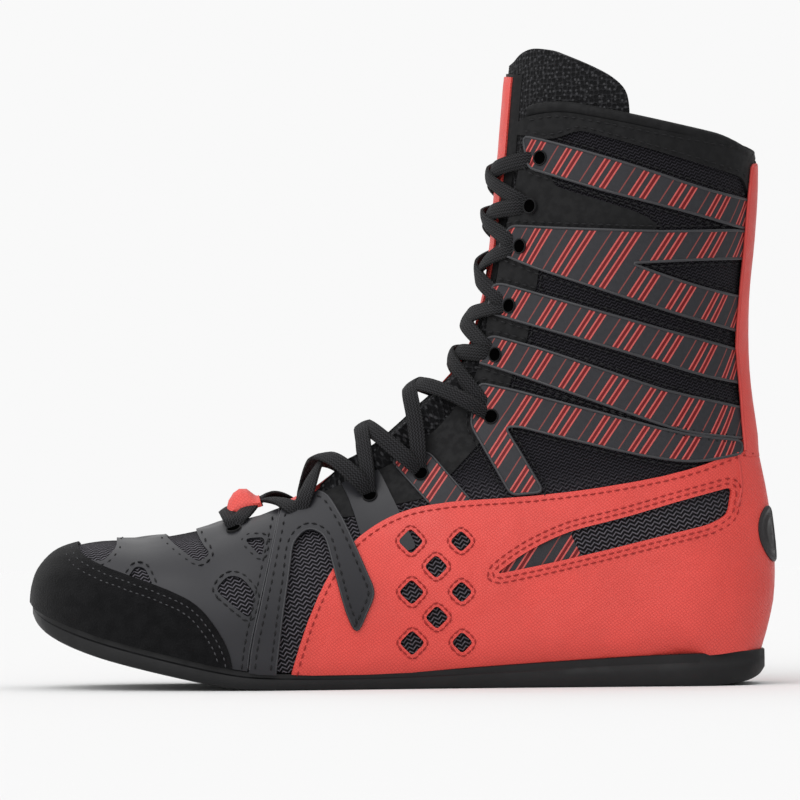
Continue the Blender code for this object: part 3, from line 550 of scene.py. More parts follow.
def cut_edges(form, outline, closed=True):
    """Cuts a sheet across the shoe along each edge of an outline of the side view."""
    ends = outline[1:] + outline[:1] if closed else outline[1:]
    room = 1e-4
    for (x1, z1), (x2, z2) in zip(outline, ends):
        low_x, high_x = min(x1, x2) - room, max(x1, x2) + room
        low_z, high_z = min(z1, z2) - room, max(z1, z2) + room
        near = []
        for face in form.faces:
            xs = [vert.co.x for vert in face.verts]
            if max(xs) >= low_x and min(xs) <= high_x:
                zs = [vert.co.z for vert in face.verts]
                if max(zs) >= low_z and min(zs) <= high_z:
                    near.append(face)
        cut_faces(form, near, (x1, 0, z1), Vector((z1 - z2, 0, x2 - x1)).normalized())


def drop_faces(form, test):
    """Deletes the faces whose middle passes a test."""
    gone = [face for face in form.faces if test(face.calc_center_median())]
    bmesh.ops.delete(form, geom=gone, context="FACES")


def sheet_in(outline, side, holes=(), margin=0.006):
    """A sheet of the last inside an outline of the side view, less its holes."""
    form = BASE.copy()
    xs = [x for x, z in outline]
    zs = [z for x, z in outline]
    low_x, high_x = min(xs) - margin, max(xs) + margin
    low_z, high_z = min(zs) - margin, max(zs) + margin

    def far(middle):
        if side and middle.y * side < -margin:
            return True
        return not (low_x < middle.x < high_x and low_z < middle.z < high_z)

    drop_faces(form, far)
    if side:
        cut_middle(form)
        drop_faces(form, lambda middle: middle.y * side < 0)
    cut_edges(form, outline)
    drop_faces(form, lambda middle: not inside((middle.x, middle.z), outline))
    for hole in holes:
        cut_edges(form, hole)
        drop_faces(form, lambda middle: inside((middle.x, middle.z), hole))
    weld(form)
    return form


def cut_middle(form):
    geometry = form.verts[:] + form.edges[:] + form.faces[:]
    bmesh.ops.bisect_plane(form, geom=geometry, dist=1e-6, plane_co=(0, 0, 0), plane_no=(0, 1, 0))


def sole_line(lift=0.0):
    """The line of the sole's top in the side view, from toe to heel."""
    return [(place(r.along, 0)[0], place(0, r.top)[1] + lift) for r in FORE_SOLE_ROWS + HEEL_SOLE_ROWS]


def cut_sole(form, lift=CLEARANCE):
    """Takes away what is below the top of the sole."""
    line = sole_line(lift)
    line = [(line[0][0] + 0.03, line[0][1] + 0.01)] + line + [(line[-1][0] - 0.03, line[-1][1])]
    cut_edges(form, line, closed=False)
    below = line + [(line[-1][0], -0.05), (line[0][0], -0.05)]
    drop_faces(form, lambda middle: inside((middle.x, middle.z), below))


def throat_gap(spot):
    """The half gap of the throat at a row's number."""
    if spot < THROAT[0][0]:
        return 0.0
    for (first, first_share), (last, last_share) in zip(THROAT, THROAT[1:]):
        if spot <= last:
            share = (spot - first) / (last - first)
            return THROAT_HALF_GAP * (first_share + (last_share - first_share) * share)
    return THROAT_HALF_GAP * THROAT[-1][1]


def turn_at(spot, width):
    """How far round the last a point lies at a distance from the middle, near the front."""
    low, high = 0.5, 1.0
    middle_y = last_point(spot, 1.0).y
    for _ in range(24):
        middle = (low + high) / 2
        if last_point(spot, middle).y - middle_y > width:
            low = middle
        else:
            high = middle
    return low


def cut_throat(form, extra=0.0, first=THROAT[0][0]):
    """Opens a sheet down the throat. Extra widens the cut."""
    spots = form.loops.layers.uv.active
    rows = [first] + [spot for spot, _ in THROAT if spot > first]
    for side in (1, -1):
        turns = [side * turn_at(spot, throat_gap(spot) + extra) for spot in rows]
        line = [(spot, on_last(spot, turn, 0)) for spot, turn in zip(rows, turns)]
        for (spot, start), (next_spot, end) in zip(line, line[1:]):
            near = []
            for face in form.faces:
                row = face.loops[0][spots].uv.x
                middle = face.calc_center_median()
                if spot - 0.3 < row < next_spot + 0.3 and (middle.y - start.y) * side < 0.02:
                    if middle.y * side > 0.003 and 0.5 < abs(unturned(face.loops[0][spots].uv.y)):
                        near.append(face)
            out = last_normal((spot + next_spot) / 2, 1.0)
            cut_faces(form, near, start, out.cross(end - start).normalized())

    def open_here(face):
        uvs = [loop[spots].uv for loop in face.loops]
        row = sum(uv.x for uv in uvs) / len(uvs)
        turn = abs(unturned(uvs[0].y))
        if row < first or turn < 0.5:
            return False
        middle = face.calc_center_median()
        return abs(middle.y - section(row)[4]) < throat_gap(row) + extra

    gone = [face for face in form.faces if open_here(face)]
    bmesh.ops.delete(form, geom=gone, context="FACES")


def settle(form):
    """Mends the row and turn of the vertices that a cut made, so that each names its own place."""
    spots = form.loops.layers.uv.active
    step = 0.004
    close, tries = 5e-6, 4
    most_row, most_turn = 0.3, 0.03
    for vert in form.verts:
        if not vert.link_loops:
            continue
        row, turn = vert.link_loops[0][spots].uv
        first_turn = turn
        if (last_point(row, turn) - vert.co).length < close:
            continue
        for _ in range(tries):
            here = last_point(row, turn)
            miss = vert.co - here
            by_row = (last_point(row + step, turn) - here) / step
            by_turn = (last_point(row, turn + step) - here) / step
            a, b, c = by_row.dot(by_row), by_row.dot(by_turn), by_turn.dot(by_turn)
            d, e = by_row.dot(miss), by_turn.dot(miss)
            size = a * c - b * b
            if abs(size) < 1e-16:
                break
            row += held((d * c - b * e) / size, -most_row, most_row)
            row = held(row, -1.0, float(LAST_ROW))
            turn += held((a * e - b * d) / size, -most_turn, most_turn)
        for loop in vert.link_loops:
            seam_turn = 2.0 if loop[spots].uv.y - first_turn > 1 else 0.0
            seam_turn = -2.0 if loop[spots].uv.y - first_turn < -1 else seam_turn
            loop[spots].uv = (row, turn + seam_turn)


def wrap(form, offset, thickness, rise=None, sink=None):
    """Gives a sheet its thickness: it is laid at an offset from the last and drawn outwards.

    Rise and sink are functions of row and turn for what stands proud and what lies deeper. The UV map
    ends as the flat pattern. What comes back is the faces underneath.
    """
    settle(form)
    spots = form.loops.layers.uv.active
    places = {vert: tuple(vert.link_loops[0][spots].uv) for vert in form.verts if vert.link_loops}
    loose = [vert for vert in form.verts if not vert.link_loops]
    bmesh.ops.delete(form, geom=loose, context="VERTS")
    under = form.faces[:]
    drawn = bmesh.ops.extrude_face_region(form, geom=under, use_keep_orig=True)
    over = [item for item in drawn["geom"] if isinstance(item, bmesh.types.BMVert)]
    for vert in over:
        if vert.link_loops:
            row, turn = vert.link_loops[0][spots].uv
            lift = rise(row, turn) if rise else 0.0
            vert.co = on_last(row, turn, offset + thickness + lift)
    for vert, (row, turn) in places.items():
        lift = min(rise(row, turn), 0.0) if rise else 0.0
        deeper = sink(row, turn) if sink else 0.0
        vert.co = on_last(row, turn, offset + lift - deeper)
    face_out(form)
    lay_flat(form, spots)
    return under


def lay_flat(form, spots):
    """Turns the rows and turns in the UV map into the flat pattern in metres."""
    for face in form.faces:
        for loop in face.loops:
            row, turn = loop[spots].uv
            loop[spots].uv = flat_place(row, turn)


# Materials

def add(tree, kind, inputs=None, **settings):
    """A node with its settings, and each input given a value or joined to a socket."""
    node = tree.nodes.new("ShaderNode" + kind)
    for key, value in settings.items():
        setattr(node, key, value)
    for key, value in (inputs or {}).items():
        if isinstance(value, bpy.types.NodeSocket):
            tree.links.new(value, node.inputs[key])
        else:
            node.inputs[key].default_value = value
    return node


def maths(tree, operation, *values):
    return add(tree, "Math", dict(enumerate(values)), operation=operation).outputs[0]


def spread(tree, value, low, high, to_low=0.0, to_high=1.0):
    """A value's range from low to high, spread smoothly over another range."""
    inputs = {"Value": value, "From Min": low, "From Max": high, "To Min": to_low, "To Max": to_high}
    return add(tree, "MapRange", inputs, interpolation_type="SMOOTHSTEP").outputs["Result"]


def mix_colour(tree, share, first, second):
    return add(tree, "Mix", {0: share, 6: first, 7: second}, data_type="RGBA").outputs[2]


def noise(tree, vector, scale, detail, distortion=0.0):
    inputs = {"Vector": vector, "Scale": scale, "Detail": detail, "Distortion": distortion}
    return add(tree, "TexNoise", inputs).outputs


def cells(tree, vector, scale, randomness, feature="F1", dimensions="2D"):
    """How far a point lies from the middle of its cell, or from the cell's edge."""
    inputs = {"Vector": vector, "Scale": scale, "Randomness": randomness}
    found = add(tree, "TexVoronoi", inputs, feature=feature, voronoi_dimensions=dimensions)
    return found.outputs["Distance"]


def group(name, inputs, outputs, build):
    """A shader node group with named inputs and outputs."""
    tree = bpy.data.node_groups.new(name, "ShaderNodeTree")
    tree.interface.new_socket(name="Vector", in_out="INPUT", socket_type="NodeSocketVector")
    for key, kind, value in inputs:
        socket = tree.interface.new_socket(name=key, in_out="INPUT", socket_type="NodeSocket" + kind)
        if value is not None:
            socket.default_value = value
    for key, kind in outputs:
        tree.interface.new_socket(name=key, in_out="OUTPUT", socket_type="NodeSocket" + kind)
    taken = tree.nodes.new("NodeGroupInput").outputs
    given = tree.nodes.new("NodeGroupOutput").inputs
    for key, socket in build(tree, taken).items():
        tree.links.new(socket, given[key])
    return tree


def use(tree, which, vector, **inputs):
    """A node group placed in a material, with its own values."""
    return add(tree, "Group", {"Vector": vector, **inputs}, node_tree=which).outputs


def build_mottle(tree, taken):
    """A colour made lighter and darker in soft patches."""
    patches = noise(tree, taken["Vector"], taken["Scale"], 5.0)["Fac"]
    change = maths(tree, "MULTIPLY", maths(tree, "SUBTRACT", patches, 0.5), taken["Amount"])
    factor = maths(tree, "ADD", change, 1.0)
    scaled = add(tree, "VectorMath", {0: taken["Color"], "Scale": factor}, operation="SCALE")
    return {"Color": scaled.outputs[0], "Value": patches}


mottle = group(
    "mottle", [("Color", "Color", None), ("Scale", "Float", 60.0), ("Amount", "Float", 0.4)],
    [("Color", "Color"), ("Value", "Float")], build_mottle,
)


def build_herringbone(tree, taken):
    """Zigzag rows of knitted thread. Pitch is from row to row, and Wave is the length of a zigzag."""
    parts = add(tree, "SeparateXYZ", {0: taken["Vector"]}).outputs
    half_wave = maths(tree, "MULTIPLY", taken["Wave"], 0.5)
    climb = maths(tree, "MULTIPLY", maths(tree, "PINGPONG", parts["X"], half_wave), 0.85)
    line = maths(tree, "ADD", parts["Y"], climb)
    half_pitch = maths(tree, "MULTIPLY", taken["Pitch"], 0.5)
    ridge = maths(tree, "DIVIDE", maths(tree, "PINGPONG", line, half_pitch), half_pitch)
    stitch_half = maths(tree, "MULTIPLY", taken["Wave"], 0.125)
    stitch = maths(tree, "DIVIDE", maths(tree, "PINGPONG", parts["X"], stitch_half), stitch_half)
    height = maths(tree, "MULTIPLY_ADD", stitch, 0.25, ridge)
    return {"Height": height, "Thread": spread(tree, ridge, 0.45, 0.95)}


herringbone = group(
    "herringbone_knit", [("Pitch", "Float", 0.0017), ("Wave", "Float", 0.0028)],
    [("Height", "Float"), ("Thread", "Float")], build_herringbone,
)


def build_nap(tree, taken):
    """Short fibres: a fine and a coarse noise."""
    fine = noise(tree, taken["Vector"], taken["Scale"], 3.0)["Fac"]
    coarse_scale = maths(tree, "MULTIPLY", taken["Scale"], 0.12)
    coarse = noise(tree, taken["Vector"], coarse_scale, 4.0)["Fac"]
    height = maths(tree, "MULTIPLY_ADD", coarse, 0.8, fine)
    return {"Height": height, "Patch": spread(tree, coarse, 0.35, 0.65)}


nap = group("nap", [("Scale", "Float", 2500.0)], [("Height", "Float"), ("Patch", "Float")], build_nap)


def build_scales(tree, taken):
    """Small embossed cells, pressed in their joints, with soft creases over them."""
    bent = noise(tree, taken["Vector"], 220.0, 2.0)["Color"]
    shift = add(tree, "VectorMath", {0: bent, "Scale": 0.0012}, operation="SCALE").outputs[0]
    moved = add(tree, "VectorMath", {0: taken["Vector"], 1: shift}, operation="ADD").outputs[0]
    slant = {"Vector": moved, "Rotation": (0, 0, 0.70), "Scale": (1.0, 1.25, 1.0)}
    slanted = add(tree, "Mapping", slant).outputs[0]
    scale = maths(tree, "DIVIDE", 1.0, taken["Cell"])
    joint = spread(tree, cells(tree, slanted, scale, 0.38, "DISTANCE_TO_EDGE"), 0.0, 0.22)
    return {"Height": joint, "Crease": noise(tree, taken["Vector"], 55.0, 3.0, 0.8)["Fac"]}


scales = group(
    "embossed_scales", [("Cell", "Float", 0.0016)], [("Height", "Float"), ("Crease", "Float")],
    build_scales,
)


def surface(name, roughness, specular=0.5, sheen=0.0, sheen_roughness=0.4, coat=0.0):
    """A material with a Principled shader: its node tree, its shader, and where a point of it lies."""
    made = bpy.data.materials.new(name)
    made.use_nodes = True
    tree = made.node_tree
    shader = tree.nodes["Principled BSDF"]
    uniform = {
        "Roughness": roughness, "Specular IOR Level": specular, "Sheen Weight": sheen,
        "Sheen Roughness": sheen_roughness, "Coat Weight": coat, "Coat Roughness": 0.3,
    }
    for key, value in uniform.items():
        shader.inputs[key].default_value = value
    places = add(tree, "TexCoord").outputs
    return made, tree, shader, places


def bump(tree, shader, height, strength, distance, under=None):
    """Feeds a height to the shader's normal, over another bump if there is one."""
    inputs = {"Height": height, "Strength": strength, "Distance": distance}
    if under is not None:
        inputs["Normal"] = under
    node = add(tree, "Bump", inputs)
    tree.links.new(node.outputs[0], shader.inputs["Normal"])
    return node.outputs[0]


def rough_to(tree, shader, value):
    tree.links.new(value, shader.inputs["Roughness"])


def tone(tree, shader, vector, colour, scale, amount):
    """Gives the shader a mottled colour. What comes back is the mottle's own value."""
    toned = use(tree, mottle, vector, Color=colour, Scale=scale, Amount=amount)
    tree.links.new(toned["Color"], shader.inputs["Base Color"])
    return toned["Value"]


def fuzz(tree, shader, vector, scale, strength, distance):
    """Gives the shader a bump of short fibres. What comes back is their patches."""
    fibres = use(tree, nap, vector, Scale=scale)
    bump(tree, shader, fibres["Height"], strength, distance)
    return fibres["Patch"]


def make_knit():
    """Zigzag knit: open and pale over the foot, close and dark up the shaft."""
    made, tree, shader, places = surface("upper_mesh", 0.85, 0.12, sheen=0.02)
    turned = add(tree, "Mapping", {"Vector": places["UV"], "Rotation": (0, 0, 0.25)}).outputs[0]
    low = use(tree, herringbone, turned, Pitch=0.0017, Wave=0.0030)
    high = use(tree, herringbone, turned, Pitch=0.0013, Wave=0.0021)
    level = add(tree, "SeparateXYZ", {0: places["UV"]}).outputs["Y"]
    shaft = spread(tree, level, 0.062, 0.085)
    dark, pale = (0.0040, 0.0038, 0.0048, 1), (0.112, 0.106, 0.122, 1)
    open_knit = mix_colour(tree, low["Thread"], dark, pale)
    dark, pale = (0.0038, 0.0034, 0.0046, 1), (0.030, 0.028, 0.035, 1)
    close_knit = mix_colour(tree, high["Thread"], dark, pale)
    tone(tree, shader, places["UV"], mix_colour(tree, shaft, open_knit, close_knit), 900.0, 1.2)
    height = add(tree, "Mix", {0: shaft, 2: low["Height"], 3: high["Height"]}).outputs[0]
    bump(tree, shader, height, 0.9, 0.0004)
    return made


def make_air_mesh():
    """Coarse mesh with deep holes and threads between them, strewn with small bright dots that are
    painted glints of light on the threads.
    """
    made, tree, shader, places = surface("tongue_mesh", 0.8, 0.15, sheen=0.02)
    thread = spread(tree, cells(tree, places["UV"], 560.0, 0.45), 0.28, 0.70)
    colour = mix_colour(tree, thread, (0.0032, 0.0032, 0.0038, 1), (0.019, 0.019, 0.021, 1))
    # Small bright dots mixed over the mesh colour: painted glints of light on the threads.
    painted_glints = spread(tree, cells(tree, places["UV"], 430.0, 0.8), 0.26, 0.12)
    colour = mix_colour(tree, painted_glints, colour, (0.042, 0.042, 0.045, 1))
    tone(tree, shader, places["UV"], colour, 500.0, 1.2)
    bump(tree, shader, thread, 1.0, 0.0005)
    return made


def make_microfibre():
    made, tree, shader, places = surface("black_microfibre", 0.72, 0.22, sheen=0.05)
    tone(tree, shader, places["UV"], (0.0050, 0.0050, 0.0056, 1), 130.0, 0.7)
    patches = fuzz(tree, shader, places["UV"], 2600.0, 0.35, 0.0002)
    rough_to(tree, shader, spread(tree, patches, 0.0, 1.0, 0.66, 0.8))
    return made


def make_suede():
    made, tree, shader, places = surface("black_suede", 0.95, 0.06, sheen=0.08, sheen_roughness=0.5)
    patches = fuzz(tree, shader, places["UV"], 1700.0, 0.8, 0.0004)
    colour = mix_colour(tree, patches, (0.0045, 0.0045, 0.0050, 1), (0.0070, 0.0070, 0.0076, 1))
    tone(tree, shader, places["UV"], colour, 1300.0, 1.2)
    return made


def make_synthetic():
    made, tree, shader, places = surface("grey_synthetic", 0.40, 0.34)
    patches = tone(tree, shader, places["UV"], (0.0165, 0.0165, 0.0200, 1), 45.0, 0.35)
    rough_to(tree, shader, spread(tree, patches, 0.3, 0.7, 0.35, 0.48))
    fuzz(tree, shader, places["UV"], 1500.0, 0.16, 0.00015)
    return made


def make_red_leather():
    made, tree, shader, places = surface("red_leather", 0.48, 0.4, coat=0.03)
    grain = use(tree, scales, places["UV"], Cell=0.00112)
    pressed = mix_colour(tree, grain["Height"], (0.56, 0.042, 0.034, 1), (0.690, 0.070, 0.055, 1))
    tone(tree, shader, places["UV"], pressed, 40.0, 0.30)
    rough_to(tree, shader, spread(tree, grain["Crease"], 0.3, 0.7, 0.40, 0.56))
    folds = bump(tree, shader, grain["Crease"], 0.35, 0.0022)
    bump(tree, shader, grain["Height"], 0.32, 0.00022, folds)
    return made


STRIPE_ACROSS = (-0.834, -0.552, 0.0)
STRIPE_PERIOD = 0.0146
RIB_PERIOD = 0.0006
GREY_BAND = (0.023, 0.023, 0.027, 1)
SALMON = (0.50, 0.090, 0.080, 1)
DARK_RED = (0.130, 0.004, 0.006, 1)
THIN_RED = (0.200, 0.046, 0.040, 1)
STRIPES = [
    (0.000, GREY_BAND), (0.045, THIN_RED), (0.075, GREY_BAND), (0.280, SALMON), (0.318, DARK_RED),
    (0.392, SALMON), (0.430, GREY_BAND), (0.560, SALMON), (0.600, DARK_RED), (0.676, SALMON),
    (0.716, GREY_BAND),
]


def make_striped():
    """Dark grey with slanted pinstripes: two edged bars and a thin line."""
    made, tree, shader, places = surface("striped_band", 0.55, 0.25)
    across = add(tree, "VectorMath", {0: places["UV"], 1: STRIPE_ACROSS}, operation="DOT_PRODUCT")
    across = across.outputs["Value"]
    ramp = add(tree, "ValToRGB", {0: maths(tree, "FRACT", maths(tree, "DIVIDE", across, STRIPE_PERIOD))})
    ramp.color_ramp.interpolation = "CONSTANT"
    while len(ramp.color_ramp.elements) < len(STRIPES):
        ramp.color_ramp.elements.new(0.5)
    for element, (position, colour) in zip(ramp.color_ramp.elements, STRIPES):
        element.position = position
        element.color = colour
    tone(tree, shader, places["UV"], ramp.outputs[0], 500.0, 0.5)
    ribs = maths(tree, "FRACT", maths(tree, "DIVIDE", across, RIB_PERIOD))
    bump(tree, shader, maths(tree, "PINGPONG", ribs, 0.5), 0.25, 0.00012)
    return made


def make_rubber(name, colour):
    made, tree, shader, places = surface(name, 0.52, 0.3)
    tone(tree, shader, places["Object"], colour, 35.0, 0.5)
    patches = fuzz(tree, shader, places["Object"], 900.0, 0.22, 0.0003)
    rough_to(tree, shader, spread(tree, patches, 0.0, 1.0, 0.47, 0.62))
    return made


def make_lining():
    made, tree, shader, places = surface("lining_cloth", 0.9, 0.12, sheen=0.04)
    weave = cells(tree, places["Object"], 900.0, 0.1, dimensions="3D")
    colour = mix_colour(tree, weave, (0.020, 0.020, 0.022, 1), (0.008, 0.008, 0.009, 1))
    tone(tree, shader, places["Object"], colour, 60.0, 0.5)
    bump(tree, shader, weave, 0.6, 0.0003)
    return made


def make_lace_weave():
    """A flat woven lace: the UV map runs along it and across it in metres."""
    made, tree, shader, places = surface("black_lace", 0.85, 0.2, sheen=0.04)
    knit = use(tree, herringbone, places["UV"], Pitch=0.0011, Wave=0.0015)
    colour = mix_colour(tree, knit["Thread"], (0.004, 0.004, 0.0045, 1), (0.028, 0.028, 0.031, 1))
    tree.links.new(colour, shader.inputs["Base Color"])
    bump(tree, shader, knit["Height"], 0.9, 0.0003)
    return made


def make_cord(name, colour, roughness):
    """Smooth piping, and folded edges of leather."""
    made, tree, shader, places = surface(name, roughness, 0.4)
    tone(tree, shader, places["Object"], colour, 60.0, 0.4)
    fuzz(tree, shader, places["Object"], 1500.0, 0.2, 0.00015)
    return made


def make_thread(name, colour, specular=0.3):
    made, tree, shader, places = surface(name, 0.7, specular)
    tone(tree, shader, places["Object"], colour, 400.0, 0.6)
    return made


KNIT = make_knit()
AIR_MESH = make_air_mesh()
MICROFIBRE = make_microfibre()
SUEDE = make_suede()
GREY = make_synthetic()
RED_LEATHER = make_red_leather()
STRIPED = make_striped()
RUBBER = make_rubber("outsole_rubber", (0.0065, 0.0065, 0.0072, 1))
BADGE_RUBBER = make_rubber("badge_rubber", (0.022, 0.020, 0.021, 1))
LINING = make_lining()
LACE_WEAVE = make_lace_weave()
BLACK_THREAD = make_thread("black_thread", (0.006, 0.006, 0.007, 1))
CAP_THREAD = make_thread("cap_thread", (0.050, 0.050, 0.054, 1))
RED_THREAD = make_thread("red_thread", (0.30, 0.020, 0.018, 1))
# Near-black with no specular: painted shade standing for the inside of each lace hole.
PAINTED_HOLE_SHADE = make_thread("painted_hole_shade", (0.0010, 0.0010, 0.0010, 1), 0.0)
PIPING = make_cord("piping_grey", (0.030, 0.030, 0.034, 1), 0.42)
FOLD = make_cord("folded_red", (0.52, 0.050, 0.042, 1), 0.5)


# The sole

def sole_stations():
    """The sole's sections from heel to toe, closer at the edges of the tread's grooves."""
    rows = []
    for table, width in ((FORE_SOLE_ROWS, BALL_WIDTH), (HEEL_SOLE_ROWS, HEEL_WIDTH)):
        for row in table:
            x, bottom = place(row.along, row.bottom)
            top = place(0, row.top)[1]
            rows.append([x, bottom, top, row.outer * width, row.inner * width, row.arch * ARCH_RISE])
    parts = 4
    fine = [along_rows(rows, number / parts) for number in range((len(rows) - 1) * parts + 1)]
    xs = sorted({row[0] for row in fine} | set(groove_edges()), reverse=True)
    stations = []
    for x in xs:
        if x > fine[0][0] or x < fine[-1][0]:
            continue
        for first, last in zip(fine, fine[1:]):
            if last[0] <= x <= first[0]:
                share = (first[0] - x) / max(first[0] - last[0], 1e-9)
                stations.append([a + (b - a) * share for a, b in zip(first, last)])
                break
    return stations


TREAD_MIDDLE = 0.650
GROOVE_MARGIN = 0.0060
TREAD_X = TREAD_MIDDLE * LENGTH - HEEL_CENTRE
GROOVES = [TREAD_X + (number + 0.5) * GROOVE_PITCH for number in range(-4, 3)]
GROOVES += [(number + 0.5) * GROOVE_PITCH for number in range(-2, 4)]


def groove_edges():
    half = GROOVE_WIDTH / 2
    return [x + edge for x in GROOVES for edge in (-half, -half + 0.0002, half - 0.0002, half)]


def make_outsole():
    stations = sole_stations()
    half_way = 13
    around = 2 * half_way

    def ring_point(station, number):
        x, bottom, top, outer, inner, arch = station
        side = 1 if number < half_way else -1
        step = number if number < half_way else around - 1 - number
        edge = outer if side > 0 else inner
        middle = (outer + inner) / 2
        half = (outer - inner) / 2
        lift = arch if side < 0 else 0.0
        radius = min(SOLE_EDGE_RADIUS, (top - bottom) * 0.4, half * 0.3)
        ledge = min(SOLE_STEP, half * 0.1)
        margin = min(GROOVE_MARGIN, half * 0.6)
        grooved = any(abs(x - groove) < GROOVE_WIDTH / 2 - 0.0001 for groove in GROOVES)
        deep = GROOVE_DEPTH if grooved and margin == GROOVE_MARGIN else 0.0
        height = top - bottom
        shape = [
            (half, deep), (half * 0.55, deep), (margin, deep), (margin - 0.0002, 0.0),
            (radius, lift), (radius * 0.3, lift + radius * 0.3), (0, lift + radius),
            (-0.0003, height * 0.45 + lift * 0.5), (-0.0001, height * 0.64 + lift * 0.3),
            (ledge, height * 0.72 + lift * 0.2), (ledge, height - 0.0003), (ledge + 0.0004, height),
            (half, height),
        ]
        inward, up = shape[step]
        y = edge - side * inward if inward < half * 0.99 else middle
        return Vector((x, y, bottom + up))

    form = bmesh.new()
    for vert in add_grid(form, len(stations) - 1, around):
        along, across = grid_shares(vert.co)
        number = round(along * (len(stations) - 1))
        vert.co = ring_point(stations[number], round(across * around) % around)
    weld(form, 2 * FINE_WELD)
    bmesh.ops.holes_fill(form, edges=[edge for edge in form.edges if edge.is_boundary], sides=0)
    face_out(form)
    crisp(form, radians(38))
    return new_piece("outsole_shell", form, [RUBBER], ["outsole"])


make_outsole()
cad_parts["insole"].data.materials.clear()
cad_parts["insole"].data.materials.append(LINING)


# The upper

COLLAR = filleted(placed(COLLAR_LINE), closed=False)


def cut_collar(form, lift):
    """Takes away what is above the line of the collar."""
    line = [(x, z + lift) for x, z in COLLAR]
    cut_edges(form, line, closed=False)
    above = line + [(line[-1][0], 0.5), (line[0][0], 0.5)]
    drop_faces(form, lambda middle: inside((middle.x, middle.z), above))


def make_upper():
    form = BASE.copy()
    cut_sole(form)
    cut_collar(form, -0.0015)
    cut_throat(form)
    weld(form)
    for face in wrap(form, -WALL, WALL):
        face.material_index = 1
    crisp(form)
    return new_piece("knit_upper", form, [KNIT, LINING], ["upper"])


make_upper()


def panel(name, outline, side, material, nodes=(), holes=(), throat=None, base=PANEL_BASE,
          thickness=PANEL_THICKNESS, rise=None, sole=True, shift=None, collar=False):
    """A panel cut from the last's surface and laid on the upper."""
    form = sheet_in(outline, side, holes)
    if collar:
        cut_collar(form, -0.002)
    if sole:
        cut_sole(form)
    if throat is not None:
        cut_throat(form, throat)
    weld(form)
    wrap(form, base, thickness, rise)
    if shift:
        spots = form.loops.layers.uv.active
        for face in form.faces:
            for loop in face.loops:
                loop[spots].uv += Vector(shift)
    crisp(form)
    return new_piece(name, form, [material], nodes)


FLEX_ROWS = (3.0, 9.0)
FLEX_RISE = 0.00055
FOLD_ROWS = (12.5, 17.5)
FOLD_RISE = 0.0007


def swell(row, rows):
    """A rise and fall over a range of rows, nothing outside it."""
    first, last = rows
    return sin((row - first) / (last - first) * pi) if first < row < last else 0.0


def flex(row, turn):
    """The soft rolls where the forefoot bends, and the hollows between the seams of the vamp."""
    top = max(0.0, abs(unturned(turn)) - 0.45) / 0.55
    return FLEX_RISE * swell(row, FLEX_ROWS) * top * sin(row * 4.4 + unturned(turn) * 2.0)


def heel_folds(row, turn):
    """Shallow folds low on the quarter, toward the heel."""
    low = max(0.0, 1 - abs(abs(unturned(turn)) - 0.24) / 0.22)
    return FOLD_RISE * low * swell(row, FOLD_ROWS) * (0.5 + sin(row * 5.1 + turn * 9.0))


CAP_EDGE = filleted(placed(TOE_CAP_EDGE), closed=False)
VAMP_BACK = filleted(placed(VAMP_BACK_EDGE), closed=False)
CAP_OUTLINE = CAP_EDGE + [(LENGTH, CAP_EDGE[-1][1]), (LENGTH, CAP_EDGE[0][1])]
CAP_LAP = 0.004
THROAT_LAP = 0.0003
THICK_PANEL = 0.0012
THIN_PANEL = 0.0009
STRIPE_SHIFT = 0.0071
panel("toe_cap_suede", CAP_OUTLINE, 0, SUEDE, ["toe_cap"], thickness=THICK_PANEL)

VAMP_HOLES = [filleted(placed(outline)) for outline in VAMP_WINDOWS]
vamp_front = [(x + CAP_LAP, z) for x, z in CAP_EDGE[::-1]]
panel(
    "vamp_synthetic", vamp_front + VAMP_BACK[::-1], 0, GREY, ["vamp_overlay"],
    holes=VAMP_HOLES, throat=THROAT_LAP, base=0.0001, thickness=THIN_PANEL, rise=flex,
)
STRAP_LINE = filleted(placed(STRAP), 0.005)
QUARTER_LINE = filleted(placed(QUARTER))
WINDOW_LINE = filleted(placed(QUARTER_WINDOW))


def edge_distance(point, outline):
    """How far a point lies inside an outline, and less than nothing outside it."""
    nearest = LENGTH
    for (x1, z1), (x2, z2) in zip(outline, outline[1:] + outline[:1]):
        run, rise = x2 - x1, z2 - z1
        share = ((point[0] - x1) * run + (point[1] - z1) * rise) / (run * run + rise * rise)
        share = held(share)
        nearest = min(nearest, hypot(point[0] - x1 - run * share, point[1] - z1 - rise * share))
    return nearest if inside(point, outline) else -nearest


def vents():
    """Staggered diamonds, the largest toward the toe."""
    quarter = placed(QUARTER)
    strap = placed(STRAP)
    window = placed(QUARTER_WINDOW)
    front = max(x for x, z in quarter)
    back = place(VENT_BACK, 0)[0]
    sole = place(0, FORE_SOLE_ROWS[-1].top)[1]
    diamonds = []
    line = 1
    while line * VENT_PITCH / 2 < INSTEP_HEIGHT / 2:
        z = sole + line * VENT_PITCH / 2
        x = front - VENT_PITCH / 2 * (line % 2)
        while x > back:
            reach = (VENT_SMALLEST + (VENT_LARGEST - VENT_SMALLEST) * (x - back) / (front - back)) / 2
            clear = min(edge_distance((x, z), quarter), -edge_distance((x, z), strap))
            if min(clear, -edge_distance((x, z), window)) > VENT_MARGIN:
                diamonds.append([(x + reach, z), (x, z + reach), (x - reach, z), (x, z - reach)])
            x -= VENT_PITCH
        line += 1
    return diamonds


BACKSTAY_LINE = filleted(placed(BACKSTAY))


def lowered_end(row, turn):
    """The backstay comes down to the quarter's height at its foot."""
    foot = place(0, 0.80)[1]
    return -0.0010 * held((foot - last_point(row, turn).z) / 0.008)


VENTS = [filleted(diamond, 0.0016) for diamond in vents()]
panel(
    "quarter_leather", QUARTER_LINE, 0, RED_LEATHER, ["quarter"],
    holes=[WINDOW_LINE] + VENTS, rise=heel_folds,
)
panel(
    "backstay_leather", BACKSTAY_LINE, 0, RED_LEATHER, ["backstay"], base=0.0013,
    thickness=THICK_PANEL, rise=lowered_end,
)

